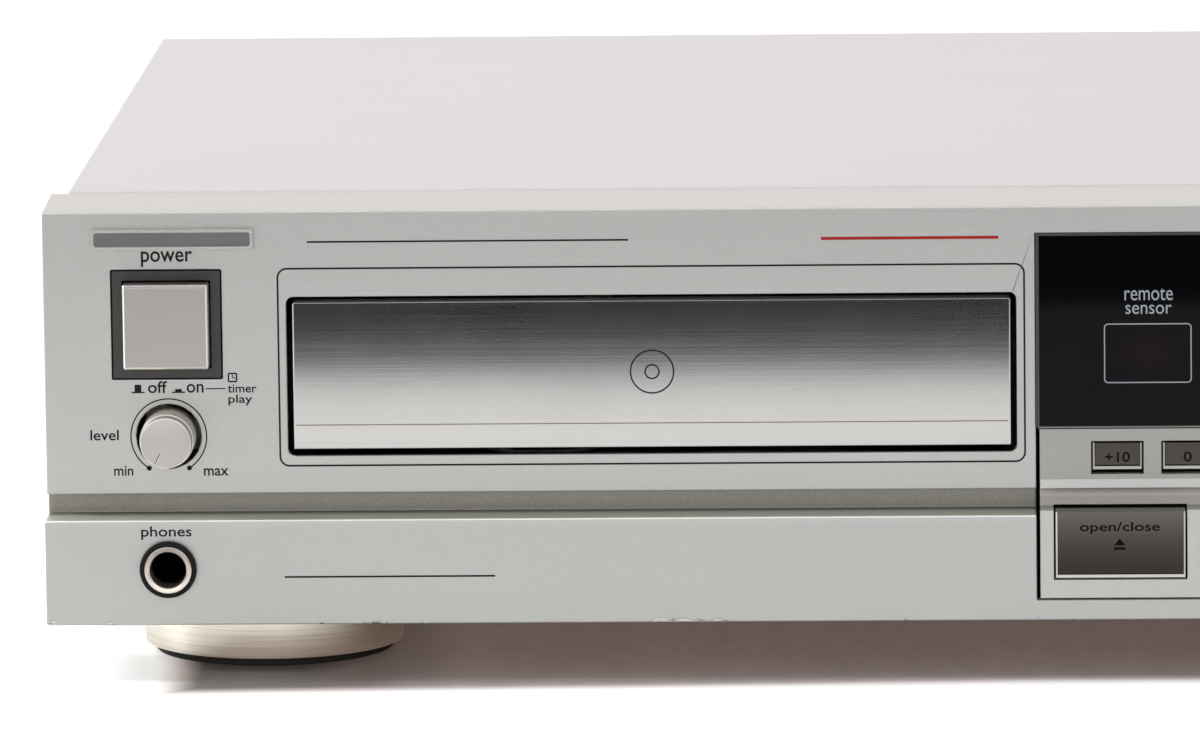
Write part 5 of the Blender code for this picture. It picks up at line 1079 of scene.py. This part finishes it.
def rear_fittings(colours, sizes):
    """Line sockets, optical shutter, cord gland and the screws of the case."""
    black = plastic("socket_plastic", colours.black_plastic, 0.42)
    gold = satin_metal("socket_gold", colours.gold, 0.25)
    low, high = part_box("line_out_jacks")
    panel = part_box("rear_panel")[1].y
    centre = (low + high) / 2
    block = rounded(low.x, high.x, low.z, high.z, 1.2 * MM)
    body = keep("line_out_body", plate(block, low.y, panel - 1.2 * MM - low.y), black, "root")
    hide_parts("line_out_jacks")
    radius, bore, pin = 4.2 * MM, 3.3 * MM, 1.65 * MM
    end, base = high.y, panel - 1.4 * MM
    soft = 0.35 * MM
    shell = [(bore, base), (radius, base), *eased(radius, end, soft, -soft), (bore, end)]
    filling = oblong(pin + 0.25 * MM, bore - LIFT, base, end - 0.25 * MM)
    lining = oblong(pin, pin + 0.24 * MM, base, end - 0.4 * MM)
    inner, outer, back = radius + 0.02 * MM, radius + 1.3 * MM, panel + 0.8 * MM
    collar = [(inner, panel), (outer, panel), (outer, panel + 0.5 * MM), (radius + 0.8 * MM, back), (inner, back)]
    for side, way, tint in (("left", 1, shade(226, 224, 218)), ("right", -1, shade(176, 40, 34))):
        socket = Vector((centre.x + way * 8 * MM, 0, centre.z))
        ring = plastic(f"socket_ring_{side}", tint, 0.4)
        for part, profile, steps, finish, slot in (
                ("shell", shell, 64, gold, "plated_steel"), ("ring", filling, 48, ring, "white_plastic"),
                ("contact", lining, 32, gold, "plated_steel"), ("collar", collar, 64, black, "black_plastic")):
            turned(f"line_out_{part}_{side}", profile, socket, finish, steps)
    low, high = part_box("optical_out")
    centre = (low + high) / 2
    half = 2.35 * MM
    door = rounded(centre.x - half, centre.x + half, centre.z - half, centre.z + half, 0.4 * MM)
    grey = plastic("shutter_plastic", shade(96, 96, 98), 0.4)
    keep("optical_shutter", plate(door, high.y - 1.6 * MM, 0.8 * MM), grey, "root")
    low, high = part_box("cord_gland")
    bore, neck, flange = 3.5 * MM, 6.5 * MM, 8.5 * MM
    soft = 0.5 * MM
    profile = [(bore, low.y), (neck, low.y), (neck, high.y - 3 * MM), (flange, high.y - 3 * MM),
               *eased(flange, high.y, soft, -soft), (bore + 1.6 * soft, high.y),
               (bore + 0.5 * soft, high.y - 0.4 * soft), (bore, high.y - 1.6 * soft)]
    gland = turned("cord_gland_turned", profile, (low + high) / 2, black, 64)
    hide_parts("cord_gland")
    metal = satin_metal("screw_metal", shade(176, 174, 168), 0.3)
    low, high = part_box("rear_panel")
    inset = 5 * MM
    spots = [(x, high.y, z) for z in (low.z + inset, high.z - inset)
             for x in (low.x + 9 * MM, (low.x + high.x) / 2, high.x - 9 * MM)]
    for number, spot in enumerate(spots):
        screw(f"rear_screw_{number}", spot, (0, 1, 0), 2.9 * MM, metal)
    low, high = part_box("top_cover")
    spots = [(x, CORNER.y + back, low.z + 14 * MM) for x in (low.x, high.x) for back in (78 * MM, 208 * MM)]
    for number, spot in enumerate(spots):
        screw(f"side_screw_{number}", spot, (math.copysign(1, spot[0]), 0, 0), 4.0 * MM, metal)


def inside(colours, sizes):
    """Finishes of everything behind the covers."""
    zinc = satin_metal("mechanism_metal", colours.zinc, 0.38)
    black = plastic("mechanism_plastic", colours.black_plastic)
    white = plastic("gear_plastic", colours.white_plastic, 0.4)
    board = board_lacquer(colours, "board_lacquer")
    filled_board = board_lacquer(colours, "board_with_parts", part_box("main_board")[0].z + 1.6 * MM)
    finishes = ((zinc, ("level_pot", "clamp_bridge", "loading_motor", "motor_pulley", "traverse_deck",
                        "spindle_motor", "guide_rod", "transformer")),
                (black, ("power_switch", "optical_out", "cord_gland", "mechanism_base", "clamp_puck",
                         "pickup_sled", "turntable", "line_out_jacks")),
                (white, ("tray_gear", "belt_pulley", "feed_gear")),
                (board, ("side_board", "control_board")),
                (filled_board, ("main_board",)),
                (rubber_finish(colours), ("drive_belt",)))
    for finish, nodes in finishes:
        for node in nodes:
            dress(node, finish)


def light_path(tree, ray):
    return result(tree, "ShaderNodeLightPath", {}, ray)


def table(settings):
    """White table whose glow keeps it white. Before and below the player's front its colour is a painted shadow,
    darker still near the left foot, where a faint tinted glow stands in for fill light in that shadow.
    """
    finish = Finish("table_top")
    where = finish.where
    patches = noise(where, 9.0, 4.0)
    gloss = spread(streaks(where, (40.0, 6.0, 6.0), 3.0), 0.3, 0.7, 0.36, 0.46)
    x, y, _ = parts_of(where)
    centre, half = (ALL[0] + ALL[1]) / 2, (ALL[1] - ALL[0]) / 2
    beside = abs(x - centre.x) - (half.x - 34 * MM)
    before = abs(y - centre.y) - half.y + spread(x, CORNER.x + 30 * MM, CORNER.x + 190 * MM, -3 * MM, 5 * MM)
    lift = spread(maths("MAXIMUM", beside, before), 3 * MM, 14 * MM, kind="SMOOTHSTEP")
    # Painted shadow: the table's colour is dark before and below the player, and darker still near the left foot.
    painted_foot_shadow = rightward(x, 80, 50)
    mottle = spread(streaks(where, (110.0, 45.0, 45.0), 5.0, 0.65), 0.35, 0.65)
    top = layered((0.89, 0.88, 0.88, 1.0), (patches, (0.95, 0.94, 0.94, 1.0)))
    painted_shadow = layered((0.33, 0.30, 0.295, 1.0), (mottle, (0.41, 0.37, 0.36, 1.0)),
                     (painted_foot_shadow, (0.13, 0.118, 0.114, 1.0)))
    seen = []
    # Painted fill light: a faint tinted glow in the painted shadow, weaker near the foot; the open floor glows white.
    for ray, shadow_glow_by_foot, open_glow in (("Is Camera Ray", 0.02, 0.42), ("Is Glossy Ray", 0.2, settings.floor_lift)):
        haze = between(painted_foot_shadow, settings.haze_strength, shadow_glow_by_foot)
        seen.append(light_path(finish.tree, ray) * maths("MAXIMUM", haze, between(lift, 0.0, open_glow)))
    finish.set(Base_Color=layered(painted_shadow, (lift, top)), Roughness=gloss, Specular_IOR_Level=0.3,
               Emission_Color=layered(settings.haze, (lift, WHITE)), Emission_Strength=maths("MAXIMUM", *seen))
    floor = bpy.data.meshes.new("table")
    front, back, side, under = CORNER.y - settings.table_front, 4, 4, -0.1 * MM
    floor.from_pydata([(-side, front, under), (side, front, under), (side, back, under), (-side, back, under)], [],
                      [(0, 1, 2, 3)])
    floor.materials.append(finish.material)
    linked(bpy.data.objects.new("table", floor))


def room(strength_all_round):
    """White world, dark below the horizon in reflections."""
    world = bpy.data.worlds.new("studio")
    bpy.context.scene.world = world
    world.use_nodes = True
    tree = world.node_tree
    tree.nodes.clear()
    seen = maths("MAXIMUM", light_path(tree, "Is Camera Ray"), light_path(tree, "Is Transmission Ray"))
    up = parts_of(result(tree, "ShaderNodeTexCoord", {}, "Generated"))[2]
    lit = light_path(tree, "Is Diffuse Ray") * strength_all_round
    gloss = light_path(tree, "Is Glossy Ray") * spread(up, -0.02, 0.02, 0.03, 0.85)
    level = maths("MAXIMUM", seen, maths("MAXIMUM", lit, gloss))
    back = result(tree, "ShaderNodeBackground", {"Color": WHITE, "Strength": level})
    feed(place(tree, "ShaderNodeOutputWorld").inputs, {0: back})


def lamp(name, spot, aim, wide, deep, power):
    """Rectangular lamp that shines from a place to its aim, in metres."""
    light = bpy.data.lights.new(name, "AREA")
    light.shape = "RECTANGLE"
    light.size, light.size_y = wide, deep
    light.energy = power
    thing = linked(bpy.data.objects.new(name, light))
    thing.location = spot
    thing.rotation_euler = (Vector(aim) - Vector(spot)).to_track_quat("-Z", "Y").to_euler()


def camera():
    """Camera at the photograph's place. Its aim is given as angles down and to the left, and its roll."""
    view = bpy.data.cameras.new("camera")
    view.sensor_width = 36.0
    view.lens = 321.525
    view.clip_end = 20.0
    thing = linked(bpy.data.objects.new("camera", view))
    down, left, roll = 0.1526727, 0.0371345, -0.0121702
    ahead = Vector((-math.sin(left) * math.cos(down), math.cos(left) * math.cos(down), -math.sin(down)))
    level = Vector((math.cos(left), math.sin(left), 0))
    rise = level.cross(ahead)
    right = level * math.cos(roll) + rise * math.sin(roll)
    top = -level * math.sin(roll) + rise * math.cos(roll)
    turn = Matrix((right, top, -ahead)).transposed().to_4x4()
    spot = Vector((CORNER.x + 185.017 * MM, CORNER.y - 2054.72 * MM, 375.803 * MM))
    thing.matrix_world = Matrix.Translation(spot) @ turn
    bpy.context.scene.camera = thing


def studio(settings):
    table(settings)
    room(settings.room)
    lamp("top_lamp", (-0.1, 0.12, 1.3), (-0.1, 0.12, 0.0), 1.4, 0.5, settings.top_power)
    lamp("front_lamp", (-0.35, -2.3, 0.65), (-0.05, -0.1, 0.05), 2.4, 1.0, settings.front_power)
    lamp("side_lamp", (-2.6, 0.1, 1.5), (-0.1, 0.0, 0.0), 0.4, 1.0, settings.side_power)
    camera()
    bpy.context.scene.view_settings.view_transform = "Standard"


# Operators

def looks(context):
    return context.scene.player_colours, context.scene.player_sizes


class MakeFrontPanel(bpy.types.Operator):
    """Paint, engraved line, rules and printing of the front panel"""
    bl_idname = "player.front_panel"
    bl_label = "Front panel"

    def execute(self, context):
        front_panel(*looks(context))
        return {"FINISHED"}


class MakeLevelScale(bpy.types.Operator):
    """Printed scale round the level knob"""
    bl_idname = "player.level_scale"
    bl_label = "Level scale"

    def execute(self, context):
        level_scale(*looks(context))
        return {"FINISHED"}


class MakeLevelKnob(bpy.types.Operator):
    """Turned knob with its pointer"""
    bl_idname = "player.level_knob"
    bl_label = "Level knob"

    def execute(self, context):
        level_knob(*looks(context))
        return {"FINISHED"}


class MakePowerButton(bpy.types.Operator):
    """Power button and its bezel"""
    bl_idname = "player.power_button"
    bl_label = "Power button"

    def execute(self, context):
        power_button(*looks(context))
        return {"FINISHED"}


class MakePhonesJack(bpy.types.Operator):
    """Barrel and ring of the headphone jack"""
    bl_idname = "player.phones_jack"
    bl_label = "Headphone jack"

    def execute(self, context):
        phones_jack(*looks(context))
        return {"FINISHED"}


class MakeDiscDrawer(bpy.types.Operator):
    """Brushed drawer front and its tray"""
    bl_idname = "player.disc_drawer"
    bl_label = "Disc drawer"

    def execute(self, context):
        disc_drawer(*looks(context))
        return {"FINISHED"}


class MakeControlPanel(bpy.types.Operator):
    """Control panel and the frame of the window"""
    bl_idname = "player.control_panel"
    bl_label = "Control panel"

    def execute(self, context):
        control_panel(*looks(context))
        return {"FINISHED"}


class MakeDisplayWindow(bpy.types.Operator):
    """Smoked window with its printing"""
    bl_idname = "player.display_window"
    bl_label = "Display window"

    def execute(self, context):
        display_window(*looks(context))
        return {"FINISHED"}


class MakeKeys(bpy.types.Operator):
    """Brushed keys with their legends"""
    bl_idname = "player.keys"
    bl_label = "Keys"

    def execute(self, context):
        keys(*looks(context))
        return {"FINISHED"}


class MakeFeet(bpy.types.Operator):
    """Front and rear feet with their pads"""
    bl_idname = "player.feet"
    bl_label = "Feet"

    def execute(self, context):
        feet(*looks(context))
        return {"FINISHED"}


class MakeCase(bpy.types.Operator):
    """Cover, chassis and rear panel"""
    bl_idname = "player.case"
    bl_label = "Case"

    def execute(self, context):
        case(*looks(context))
        return {"FINISHED"}


class MakeRearFittings(bpy.types.Operator):
    """Sockets, gland and screws of the case"""
    bl_idname = "player.rear_fittings"
    bl_label = "Rear fittings"

    def execute(self, context):
        rear_fittings(*looks(context))
        return {"FINISHED"}


class MakeInside(bpy.types.Operator):
    """Boards, loader, traverse and motors"""
    bl_idname = "player.inside"
    bl_label = "Inside"

    def execute(self, context):
        inside(*looks(context))
        return {"FINISHED"}


class MakeStudio(bpy.types.Operator):
    """Table, lamps and camera"""
    bl_idname = "player.studio"
    bl_label = "Studio"

    def execute(self, context):
        studio(context.scene.player_studio)
        return {"FINISHED"}


MAKERS = (MakeFrontPanel, MakeLevelScale, MakeLevelKnob, MakePowerButton, MakePhonesJack, MakeDiscDrawer,
          MakeControlPanel, MakeDisplayWindow, MakeKeys, MakeFeet, MakeCase, MakeRearFittings, MakeInside, MakeStudio)


class PlayerPanel(bpy.types.Panel):
    """Lists the makers of the player's looks"""
    bl_idname = "VIEW3D_PT_disc_player"
    bl_label = "Disc player"
    bl_space_type = "VIEW_3D"
    bl_region_type = "UI"
    bl_category = "Disc player"

    def draw(self, context):
        for values in (*looks(context), context.scene.player_studio):
            for key in values.bl_rna.properties.keys():
                if key not in ("rna_type", "name"):
                    self.layout.prop(values, key)
        for maker in MAKERS:
            self.layout.operator(maker.bl_idname)


CLASSES = (PlayerColours, PlayerSizes, StudioSettings, *MAKERS, PlayerPanel)


def register():
    for kind in CLASSES:
        bpy.utils.register_class(kind)
    bpy.types.Scene.player_colours = PointerProperty(type=PlayerColours)
    bpy.types.Scene.player_sizes = PointerProperty(type=PlayerSizes)
    bpy.types.Scene.player_studio = PointerProperty(type=StudioSettings)


def unregister():
    del bpy.types.Scene.player_studio
    del bpy.types.Scene.player_sizes
    del bpy.types.Scene.player_colours
    for kind in reversed(CLASSES):
        bpy.utils.unregister_class(kind)


def main():
    register()
    for maker in MAKERS:
        group_name, name = maker.bl_idname.split(".")
        getattr(getattr(bpy.ops, group_name), name)()
    bpy.context.view_layer.update()


if __name__ == "__main__":
    main()
